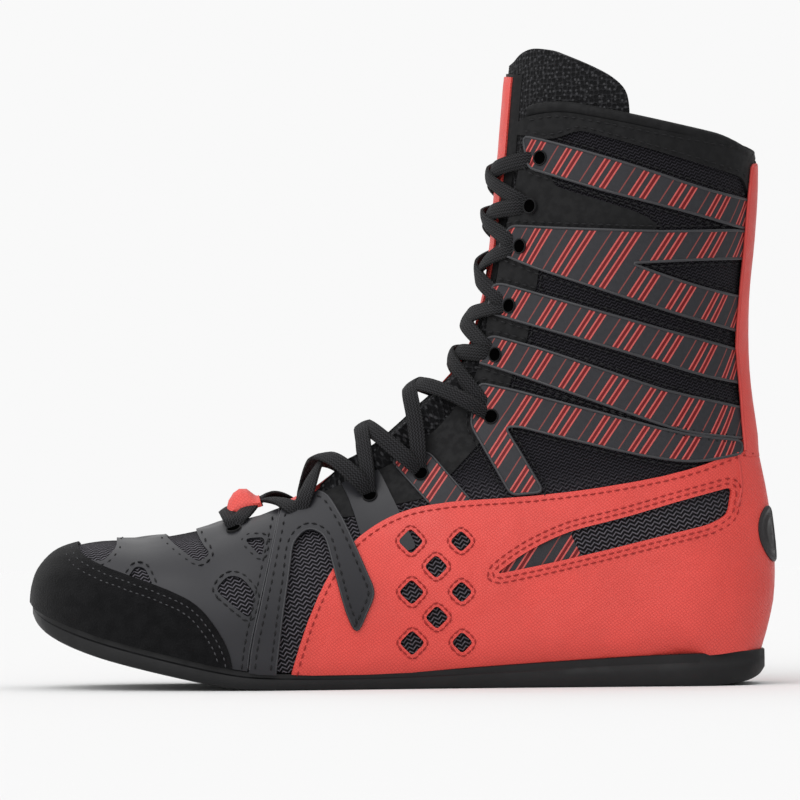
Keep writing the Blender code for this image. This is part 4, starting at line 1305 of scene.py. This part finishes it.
STRIPE_LINE = filleted(placed(WINDOW_STRIPE))
PLATE_LINE = filleted(placed(EYELET_PLATE))
TAB_LINE = filleted(placed(STRIPED_TAB))
COLLAR_PANEL_LINE = filleted(placed(tucked(COLLAR_PANEL)))
BAND_LINES = [filleted(placed(tucked(outline))) for outline in SHAFT_BANDS]
for side, side_name in SIDES:
    panel(
        "instep_strap_cover_" + side_name, STRAP_LINE, side, GREY, ["instep_strap_" + side_name],
        throat=THROAT_LAP, base=0.0014, thickness=THIN_PANEL,
    )
    panel(
        "window_stripe_" + side_name, STRIPE_LINE, side, STRIPED, (), base=0.00002,
        thickness=0.0002,
    )
    panel(
        "eyelet_plate_" + side_name, PLATE_LINE, side, GREY, (), throat=THROAT_LAP,
        base=0.0001, thickness=THICK_PANEL,
    )
    panel(
        "striped_tab_" + side_name, TAB_LINE, side, STRIPED, (), throat=THROAT_LAP,
        base=0.0001, thickness=THICK_PANEL,
    )
    panel(
        "collar_cloth_" + side_name, COLLAR_PANEL_LINE, side, MICROFIBRE, ["collar_panel_" + side_name],
        sole=False,
    )
    for number, line in enumerate(BAND_LINES, 1):
        panel(
            "band_%d_%s" % (number, side_name), line, side, STRIPED,
            ["shaft_band_%d_%s" % (number, side_name)], throat=THROAT_LAP, sole=False,
            thickness=THICK_PANEL, shift=(STRIPE_SHIFT * number, 0.0),
        )


# Facings, tongue and collar

def near_middle(spot, width):
    """The turn at a distance from the middle of the front, less than nothing on the inner side."""
    turn = turn_at(spot, abs(width))
    return turn if width >= 0 else -turn


def strip_sheet(first, last, half, across, step=0.125):
    """A strip down the middle of the front, with its half width at each row."""
    form = bmesh.new()
    rows = max(2, round((last - first) / step))
    add_grid(form, rows, across)
    spots = form.loops.layers.uv.new("UVMap")
    turns = {}
    for vert in form.verts:
        share_along, share_across = grid_shares(vert.co)
        spot = first + (last - first) * share_along
        turns[vert] = (spot, near_middle(spot, 2 * half(spot) * share_across - half(spot)))
    for face in form.faces:
        for loop in face.loops:
            loop[spots].uv = turns[loop.vert]
    for vert, (spot, turn) in turns.items():
        vert.co = last_point(spot, turn)
    return form


def along_table(table, spot):
    """A value read from a list of (row, value)."""
    for (first, low), (last, high) in zip(table, table[1:]):
        if spot <= last:
            return low + (high - low) * max(0.0, (spot - first) / (last - first))
    return table[-1][1]


FACING = [
    (0.330, 2.150), (0.302, 1.980), (0.293, 1.874), (0.242, 1.814), (0.181, 1.744), (0.154, 1.680),
    (0.176, 1.633), (0.303, 1.620), (0.311, 1.515), (0.315, 1.472), (0.318, 1.386), (0.327, 1.325),
    (0.325, 1.262), (0.329, 1.186), (0.332, 1.133), (0.346, 1.086), (0.349, 1.000), (0.353, 0.965),
    (0.356, 0.943), (0.367, 0.905), (0.381, 0.809), (0.408, 0.740), (0.429, 0.687), (0.463, 0.600),
    (0.503, 0.584), (0.541, 0.557), (0.578, 0.536), (0.604, 0.549), (0.652, 0.490), (0.690, 0.476),
    (0.720, 0.600), (0.600, 0.800), (0.500, 1.000), (0.460, 1.300), (0.440, 1.700), (0.420, 2.150),
]
FACING_LINE = filleted(placed(FACING))


TONGUE_RISES = [
    (8.4, 0.0), (9.6, -0.0010), (15.0, -0.0012), (20.0, -0.0012), (22.6, 0.0), (23.8, 0.0012),
]
TONGUE_RIDGES = [
    (8.4, 0.0), (10.0, 0.0088), (13.0, 0.0096), (15.2, 0.0054), (18.0, 0.0026), (20.5, 0.0),
]
TONGUE_THICKNESS = 0.0035
RIDGE_START = 0.0066
FREE_ROW = 22.0  # above it the tongue is free of the facings
CLOTH_HALVES = [(9.0, 0.0088), (17.5, 0.0088), (20.5, 0.0135), (22.5, 0.0165)]
CLOTH_THICKNESS = 0.0006
RED_STRIP_HALVES = [(20.0, 0.0075), (22.4, 0.0112)]


def off_middle(row, turn):
    """How far a point of the last lies from the shoe's middle line, outwards."""
    return last_point(row, turn).y - section(row)[4]


def puffed(row, turn):
    """The tongue's two soft ridges beside the strip, and its full end above the collar."""
    y = abs(off_middle(row, turn))
    gap = throat_gap(row) - 0.0015
    free = held((gap - y) / 0.005) if row < FREE_ROW else 1.0
    beside = held((y - RIDGE_START) / max(gap - RIDGE_START, 0.001))
    ridge = along_table(TONGUE_RIDGES, row) * sin(pi * beside) ** 0.6
    return along_table(TONGUE_RISES, row) * free + ridge


def cloth_half(row):
    return along_table(CLOTH_HALVES, row)


def red_strip_half(row):
    return along_table(RED_STRIP_HALVES, row)


def soft_edged(row, turn):
    edge = held((cloth_half(row) - abs(off_middle(row, turn))) / 0.0015)
    return CLOTH_THICKNESS * (1 - (1 - edge) ** 2) + puffed(row, turn)


def make_tongue_pieces():
    """The padded tongue, the black cloth down its middle and the red strip on that."""
    form = sheet_in(filleted(placed(TONGUE), 0.006), 0)
    wrap(form, -WALL - CLEARANCE - TONGUE_THICKNESS, TONGUE_THICKNESS, puffed)
    crisp(form, radians(70))
    pad = new_piece("tongue_pad", form, [AIR_MESH], ["tongue"])

    form = strip_sheet(9.0, 24.05, cloth_half, 12)
    wrap(form, -WALL - CLEARANCE - 0.0004, CLOTH_THICKNESS, soft_edged)
    crisp(form, radians(70))
    new_piece("tongue_middle", form, [MICROFIBRE])

    form = strip_sheet(8.0, 24.0, red_strip_half, 10)
    wrap(form, CLEARANCE - WALL - 0.0001, 0.0010, puffed)
    crisp(form)
    new_piece("tongue_red_strip", form, [RED_LEATHER], ["tongue_strip"])


ROLL_HALF = 0.00225
ROLL_ROUND = 0.0016
ROLL_CUTS = (-1.0, -0.8, -0.45, 0.0, 0.45, 0.8, 1.0)


def collar_drop(x, z):
    """How far a point of the side view lies above the line of the collar."""
    for (x1, z1), (x2, z2) in zip(COLLAR, COLLAR[1:]):
        if x2 <= x <= x1:
            return z - z1 - (z2 - z1) * (x - x1) / (x2 - x1)
    return ROLL_HALF


def make_collar_roll():
    """The padded edge of the mouth, round in section."""
    form = BASE.copy()
    low = min(z for x, z in COLLAR) - 0.02
    drop_faces(form, lambda middle: middle.z < low)
    lines = [[(x, z + share * ROLL_HALF) for x, z in COLLAR] for share in ROLL_CUTS]
    for line in lines:
        cut_edges(form, line, closed=False)
    ring = lines[0] + lines[-1][::-1]
    drop_faces(form, lambda middle: not inside((middle.x, middle.z), ring))
    cut_throat(form, 0.0002, first=20.0)
    weld(form)

    def round_out(row, turn):
        point = last_point(row, turn)
        share = min(abs(collar_drop(point.x, point.z)) / ROLL_HALF, 1.0)
        return ROLL_ROUND * sqrt(max(0.0, 1 - share * share))

    wrap(form, -WALL * 0.6, WALL * 0.6, round_out, round_out)
    crisp(form, radians(75))
    roll = new_piece("collar_roll", form, [MICROFIBRE], ["collar_binding"])


make_tongue_pieces()
for side, side_name in SIDES:
    panel(
        "facing_" + side_name, FACING_LINE, side, MICROFIBRE, throat=0.0001, base=0.00005,
        thickness=0.0005, collar=True,
    )
make_collar_roll()


# Seams, piping and lace

def grown(outline, margin):
    """An outline pushed out by a margin."""
    area = sum(a[0] * b[1] - b[0] * a[1] for a, b in zip(outline, outline[1:] + outline[:1]))
    turn = 1 if area > 0 else -1
    pushed = []
    for before, point, after in zip(outline[-1:] + outline[:-1], outline, outline[1:] + outline[:1]):
        first = Vector((point[0] - before[0], point[1] - before[1])).normalized()
        second = Vector((after[0] - point[0], after[1] - point[1])).normalized()
        out = Vector((first.y + second.y, -first.x - second.x)).normalized() * turn
        lean = max(0.4, out.dot(Vector((first.y, -first.x)) * turn))
        pushed.append((point[0] + out.x * margin / lean, point[1] + out.y * margin / lean))
    return pushed


def resampled(line, pitch, closed=False):
    """Points at an even pitch along a line of the side view."""
    points = [Vector(point) for point in (line + line[:1] if closed else line)]
    made = []
    wait = 0.0
    for start, end in zip(points, points[1:]):
        length = (end - start).length
        while wait < length:
            made.append(start.lerp(end, wait / length))
            wait += pitch
        wait -= length
    return made


def on_side(line, side, lift, sole=0.0006):
    """Runs of points over the shoe's side along a line of the side view, with the way out at each."""
    runs = [[]]
    edge = sole_line(sole)[::-1]
    for point in line:
        hit = side_hit(point[0], point[1], side)
        low = next(
            (z1 + (z2 - z1) * (point[0] - x1) / (x2 - x1) for (x1, z1), (x2, z2) in zip(edge, edge[1:])
             if x1 <= point[0] <= x2), 0.0
        )
        if hit is None or point[1] < low or in_throat(hit[0], hit[2]):
            if runs[-1]:
                runs.append([])
            continue
        runs[-1].append((hit[0] + hit[1] * lift, hit[1]))
    return [run for run in runs if len(run) > 1]


def in_throat(point, spot):
    """Whether a point of the last lies in the open throat."""
    row, turn = spot
    return row > THROAT[0][0] and abs(turn) > 0.5 and abs(point.y - section(row)[4]) < throat_gap(row)


def cord_line(name, runs, radius, material, ends=1.0):
    """A round cord along runs of points, as piping or a thread; ends is how thick it is at its tips."""
    data = bpy.data.curves.new(name, "CURVE")
    data.dimensions = "3D"
    data.bevel_depth = radius
    data.bevel_resolution = 1
    data.use_fill_caps = True
    for run in runs:
        spline = data.splines.new("POLY")
        spline.points.add(len(run) - 1)
        for point, (spot, out) in zip(spline.points, run):
            point.co = (*spot, 1)
        spline.points[0].radius = ends
        spline.points[-1].radius = ends
    line = bpy.data.objects.new(name, data)
    shoe.objects.link(line)
    drawn = bpy.data.meshes.new_from_object(line.evaluated_get(bpy.context.evaluated_depsgraph_get()))
    form = bmesh.new()
    form.from_mesh(drawn)
    bpy.data.meshes.remove(drawn)
    bpy.data.objects.remove(line)
    bpy.data.curves.remove(data)
    weld(form, FINE_WELD)
    face_out(form)
    crisp(form, radians(80))
    return new_piece(name, form, [material])


def sew(name, runs, material, length=STITCH_LENGTH, width=STITCH_WIDTH):
    """Stitches along runs of points: one short thread to each point, thin at its ends."""
    stitches = []
    for run in runs:
        for number, (spot, out) in enumerate(run):
            ahead = run[min(number + 1, len(run) - 1)][0] - run[max(number - 1, 0)][0]
            if ahead.length > 1e-7:
                half = ahead.normalized() * length / 2
                middle = spot + out * width * 0.5
                stitches.append([(spot - half, out), (middle, out), (spot + half, out)])
    return cord_line(name, stitches, width, material, 0.4)


def seam(outline, inset, side, lift, closed=True, pitch=STITCH_PITCH, clear_of=None):
    """Places for the stitches of a seam that runs inside an outline, where no other panel lies."""
    line = grown(outline, -inset) if closed else shifted(outline, inset)
    line = resampled(line, pitch, closed)
    parts = split(line, lambda point: not inside(point, clear_of)) if clear_of else [line]
    return [run for part in parts for run in on_side(part, side, lift)]


def split(line, test):
    """The parts of a line whose points pass a test."""
    runs = [[]]
    for point in line:
        if test(point):
            runs[-1].append(point)
        elif runs[-1]:
            runs.append([])
    return [run for run in runs if run]


def shifted(line, distance):
    """An open line moved to its left by a distance."""
    made = []
    for number, point in enumerate(line):
        before = Vector(line[max(number - 1, 0)])
        after = Vector(line[min(number + 1, len(line) - 1)])
        way = (after - before).normalized()
        made.append((point[0] - way.y * distance, point[1] + way.x * distance))
    return made


TOP = PANEL_BASE + PANEL_THICKNESS
STRAP_TOP = 0.0023
BACKSTAY_TOP = 0.0021
CAP_TOP = 0.0014
VAMP_TOP = 0.0010
CORD_STEP = 0.0012
LONG_CORD_STEP = 0.0015
THIN_PIPING = 0.00045
FOLD_RADIUS = 0.0007
CAP_PITCH = 0.0024
VENT_STITCH_PITCH = 0.0024
FOLD_FOOT = place(0, 0.735)[1]
HEEL_FOLD = [(0.055, 0.735), (0.050, 0.656), (0.050, 0.602), (0.058, 0.556)]
HEEL_FOLD_LINE = filleted(placed(HEEL_FOLD), 0.006, closed=False)

for side, side_name in SIDES:
    edges = []
    for line in BAND_LINES:
        edges += on_side(resampled(line, CORD_STEP, True), side, TOP - 0.0001)
    cord_line("band_piping_" + side_name, edges, PIPING_RADIUS, PIPING)
    edges = on_side(resampled(VAMP_BACK, LONG_CORD_STEP), side, VAMP_TOP + 0.0001)
    tab = resampled(TAB_LINE, CORD_STEP, True)
    for run in split(tab, lambda point: not inside(point, QUARTER_LINE)):
        edges += on_side(run, side, TOP)
    edges += on_side(resampled(grown(STRAP_LINE, -0.0003), CORD_STEP, True), side, STRAP_TOP - 0.0003)
    cord_line("vamp_piping_" + side_name, edges, THIN_PIPING, PIPING)
    fold = []
    for run in split(resampled(BACKSTAY_LINE, LONG_CORD_STEP, True), lambda point: point[1] > FOLD_FOOT):
        fold += on_side(run, side, BACKSTAY_TOP)
    fold += on_side(resampled(HEEL_FOLD_LINE, LONG_CORD_STEP), side, TOP - 0.0002)
    cord_line("backstay_fold_" + side_name, fold, FOLD_RADIUS, FOLD)

    runs = []
    for line in BAND_LINES:
        runs += seam(line, -0.0019, side, 0.0011, clear_of=QUARTER_LINE)
    runs += seam(COLLAR_PANEL_LINE, 0.0016, side, TOP)
    runs += seam(STRAP_LINE, 0.0022, side, STRAP_TOP)
    for hole in VAMP_HOLES:
        runs += seam(hole, -0.0016, side, VAMP_TOP, clear_of=CAP_OUTLINE)
    for inset in (0.0016, -0.0022):
        runs += seam(VAMP_BACK, inset, side, VAMP_TOP, closed=False)
    runs += seam(FACING_LINE[:-12], -0.0014, side, 0.0007, closed=False)
    sew("black_stitches_" + side_name, runs, BLACK_THREAD)

    runs = []
    for inset in (0.0024, 0.0050):
        runs += seam(CAP_EDGE, inset, side, CAP_TOP, closed=False, pitch=CAP_PITCH)
    sew("cap_stitches_" + side_name, runs, CAP_THREAD, 0.0013, 0.00030)

    runs = []
    for line, inset in ((QUARTER_LINE, 0.0020), (WINDOW_LINE, -0.0017), (WINDOW_LINE, -0.0036)):
        runs += seam(line, inset, side, TOP)
    for hole in VENTS:
        runs += seam(hole, -0.0013, side, TOP, pitch=VENT_STITCH_PITCH)
    sew("red_stitches_" + side_name, runs, RED_THREAD)


LACE_SLACK = [0.0004, 0.0024, 0.0052, 0.0040, -0.0012, -0.0014, -0.0018]
INNER_SLACK = {1: 0.0060}  # crossings that stand higher where they start on the inner side
FOOT_SLACK = 0.0010
FOOT_BOW = 0.11
LACE_STEPS = 28
LACE_BASE = CLEARANCE * 2 + OVERLAY + 0.0008
LACE_CLEAR = 0.0003
LACE_LEAN = 0.30
LACE_CROWN = 0.0005
DIP_SHARE = 0.085
DIP_DEPTH = 0.0050
DIP_NARROWING = 0.36


def lace_bars():
    """Each crossing's two holes, the side it starts on, and how far it stands off the tongue."""
    bars = []
    for number, (start, end) in enumerate(zip(LACE_HOLES, LACE_HOLES[1:])):
        slack = LACE_SLACK[min(number, len(LACE_SLACK) - 1)]
        bars.append((start, end, 1, slack))
        bars.append((start, end, -1, INNER_SLACK.get(number, slack)))
    return bars + [(LACE_HOLES[0], LACE_HOLES[0], 1, FOOT_SLACK)]


def lace_path(start, end, side, slack):
    """A lace's middle line from hole to hole: its points, the way out at each, and its width there."""
    start_turn = turn_at(start[0], THROAT_HALF_GAP * start[1])
    end_turn = turn_at(end[0], THROAT_HALF_GAP * end[1])
    path = []
    for number in range(LACE_STEPS + 1):
        share = number / LACE_STEPS
        spot = start[0] + (end[0] - start[0]) * share
        if start is end:
            spot -= FOOT_BOW * sin(pi * share)
        turn = unturned(start_turn + (2 - end_turn - start_turn) * share) * side
        dip = max(0.0, 1 - min(share, 1 - share) / DIP_SHARE)
        height = LACE_BASE + slack * sin(pi * share) ** 0.4 - DIP_DEPTH * dip ** 1.5
        if side > 0:
            height += (LACE_THICKNESS + LACE_CLEAR) * max(0.0, 1 - abs(share - 0.5) / 0.3)
        path.append((on_last(spot, turn, height), last_normal(spot, turn), 1 - DIP_NARROWING * dip))
    return path


def make_lace():
    """Flat laces, crossed from hole to hole and dipping in at each."""
    form = bmesh.new()
    pattern = form.loops.layers.uv.new("UVMap")
    for bar in lace_bars():
        path = lace_path(*bar)
        made = add_grid(form, LACE_STEPS, 4)
        lengths = [0.0]
        for first, last in zip(path, path[1:]):
            lengths.append(lengths[-1] + (last[0] - first[0]).length)
        for face in {face for vert in made for face in vert.link_faces}:
            for loop in face.loops:
                number = round(grid_shares(loop.vert.co)[0] * LACE_STEPS)
                loop[pattern].uv = (lengths[number], loop.vert.co.y * LACE_WIDTH / 2)
        for vert in made:
            number = round(grid_shares(vert.co)[0] * LACE_STEPS)
            spot, out, narrow = path[number]
            ahead = path[min(number + 1, LACE_STEPS)][0] - path[max(number - 1, 0)][0]
            across = ahead.cross(out).normalized()
            up = across.cross(ahead).normalized()
            lean = LACE_LEAN * sin(number / LACE_STEPS * 2 * pi + bar[0][0])
            across = Matrix.Rotation(lean, 3, ahead.normalized()) @ across
            half = LACE_WIDTH / 2 * narrow
            v = vert.co.y
            vert.co = spot + across * v * half + up * LACE_CROWN * (1 - v * v)
    crisp(form)
    lace = new_piece("woven_lace", form, [LACE_WEAVE], ["lace"])
    wall = lace.modifiers.new("thickness", "SOLIDIFY")
    wall.thickness = LACE_THICKNESS
    wall.offset = 0.0


RIM_BASE = 0.0016
RIM_FOOT = 0.0012
RIM_RINGS = ((1.0, 0.0002), (0.94, 0.0004), (0.86, 0.0003), (0.82, 0.0001), (0.03, 0.0001))


def make_hole_rims():
    """A pressed rim round each lace hole, with a near-black disc in it as painted shade for the hole."""
    form = bmesh.new()
    for row, share in LACE_HOLES:
        for side, _ in SIDES:
            turn = side * turn_at(row, THROAT_HALF_GAP * share)
            out = last_normal(row, turn)
            turned = out.to_track_quat("Z", "Y").to_matrix().to_4x4()
            turned.translation = on_last(row, turn, RIM_BASE)
            ring = bmesh.ops.create_circle(form, segments=20, radius=RIM_RADIUS, matrix=turned)["verts"]
            edges = list({edge for vert in ring for edge in vert.link_edges})
            centre = turned.translation.copy()
            for vert in ring:
                vert.co -= out * RIM_FOOT
            for grow, lift in RIM_RINGS:
                drawn = bmesh.ops.extrude_edge_only(form, edges=edges)["geom"]
                verts = [item for item in drawn if isinstance(item, bmesh.types.BMVert)]
                edges = [item for item in drawn if isinstance(item, bmesh.types.BMEdge)]
                for vert in verts:
                    flat = vert.co - centre
                    flat -= out * flat.dot(out)
                    vert.co = centre + flat.normalized() * RIM_RADIUS * grow + out * lift
                # The last, smallest ring closes the rim with the near-black disc of painted hole shade.
                for face in {face for edge in edges for face in edge.link_faces}:
                    face.material_index = int(grow < 0.1)
    face_out(form)
    crisp(form, radians(80))
    new_piece("lace_hole_rims", form, [MICROFIBRE, PAINTED_HOLE_SHADE])


LOOP_RISES = [(6.70, 0.00), (6.86, 0.60), (7.02, 0.90), (7.18, 1.00), (7.34, 0.85), (7.48, 0.30)]
LOOP_HEIGHT = 0.0072
LOOP_HALF = 0.0088
LOOP_THICKNESS = 0.0018


def loop_arch(row, turn):
    y = off_middle(row, turn) / LOOP_HALF
    return LOOP_HEIGHT * along_table(LOOP_RISES, row) * (1 - 0.80 * y * y)


def make_red_loop():
    """The arched tab at the foot of the throat, which the lowest lace passes under."""
    form = strip_sheet(6.62, 7.54, lambda row: LOOP_HALF, 14, 0.04)
    base = 2 * CLEARANCE + OVERLAY
    wrap(form, base, LOOP_THICKNESS, loop_arch, lambda row, turn: -loop_arch(row, turn))
    crisp(form)
    new_piece("red_loop", form, [RED_LEATHER], ["lace_loop"])


BADGE_RADIUS = 0.0106
BADGE_ACROSS = 0.0092
BADGE_HEIGHT = 0.0572
BADGE_STEPS = 48
BADGE_RINGS = [
    (1.00, 0.0), (1.00, 0.0007), (0.95, 0.0010), (0.86, 0.0010), (0.82, 0.0006), (0.66, 0.0006),
    (0.62, 0.0009), (0.56, 0.0009), (0.52, 0.0005), (0.25, 0.0005), (0.04, 0.0005),
]


def make_heel_disc():
    """A plain round badge with raised rings, pressed to the heel's curve."""
    form = bmesh.new()
    for vert in add_grid(form, BADGE_STEPS, len(BADGE_RINGS) - 1):
        along, across = grid_shares(vert.co)
        share, lift = BADGE_RINGS[round(across * (len(BADGE_RINGS) - 1))]
        reach = BADGE_RADIUS * share
        y = BADGE_ACROSS + reach * sin(along * 2 * pi)
        z = BADGE_HEIGHT + reach * cos(along * 2 * pi)
        hit = BASE_TREE.ray_cast(Vector((-0.1, y, z)), Vector((1, 0, 0)))
        out = hit[1] if hit[1].x < 0 else -hit[1]
        vert.co = hit[0] + out * (PANEL_BASE + PANEL_THICKNESS * 0.9 + lift)
    weld(form, FINE_WELD)
    face_out(form)
    crisp(form, radians(60))
    new_piece("heel_disc", form, [BADGE_RUBBER], ["heel_badge"])


make_lace()
make_hole_rims()
make_red_loop()
make_heel_disc()


# Light and floor

def soft_light(name, from_way, strength, softness):
    """A broad, soft light from far away, so that the floor is evenly lit."""
    data = bpy.data.lights.new(name, "SUN")
    data.angle = softness
    data.energy = strength
    item = bpy.data.objects.new(name, data)
    bpy.context.scene.collection.objects.link(item)
    item.rotation_euler = Vector(from_way).to_track_quat("Z", "Y").to_euler()


soft_light("key", (0.75, 0.75, 1.0), 1.1, 1.0)
soft_light("fill", (0.25, 1.0, 0.30), 0.45, 1.2)
soft_light("top", (0.1, -0.2, 1.0), 0.5, 1.4)

SKY_DIM = 0.14
SKY_BRIGHT = 0.82
BACKGROUND = 0.947
FLOOR_SIZE = 2.5
FLOOR_TONE = 0.713
world = bpy.data.worlds.new("studio")
bpy.context.scene.world = world
world.use_nodes = True
sky = world.node_tree
way = add(sky, "SeparateXYZ", {0: add(sky, "TexCoord").outputs["Generated"]}).outputs
across_light = spread(sky, way["X"], -0.8, 0.6, SKY_DIM, SKY_BRIGHT)
light = add(sky, "Mix", {0: spread(sky, way["Z"], 0.1, 0.8), 2: across_light, 3: 1.0}).outputs[0]
behind = spread(sky, way["Y"], -0.97, -0.88, 1.0, 0.0)
light = add(sky, "Mix", {0: behind, 2: light, 3: BACKGROUND}).outputs[0]
sky.nodes["Background"].inputs["Color"].default_value = (1, 1, 1, 1)
sky.links.new(light, sky.nodes["Background"].inputs["Strength"])

floor_form = bmesh.new()
bmesh.ops.create_grid(floor_form, x_segments=1, y_segments=1, size=FLOOR_SIZE)
floor_mesh = bpy.data.meshes.new("floor")
floor_form.to_mesh(floor_mesh)
floor_form.free()
floor_sheet = bpy.data.objects.new("floor", floor_mesh)
bpy.context.scene.collection.objects.link(floor_sheet)
pale = bpy.data.materials.new("pale_floor")
pale.use_nodes = True
pale_shader = pale.node_tree.nodes["Principled BSDF"]
pale_shader.inputs["Base Color"].default_value = (FLOOR_TONE, FLOOR_TONE, FLOOR_TONE, 1)
pale_shader.inputs["Roughness"].default_value = 1.0
pale_shader.inputs["Specular IOR Level"].default_value = 0.0
floor_mesh.materials.append(pale)
bpy.context.scene.view_settings.view_transform = "Standard"
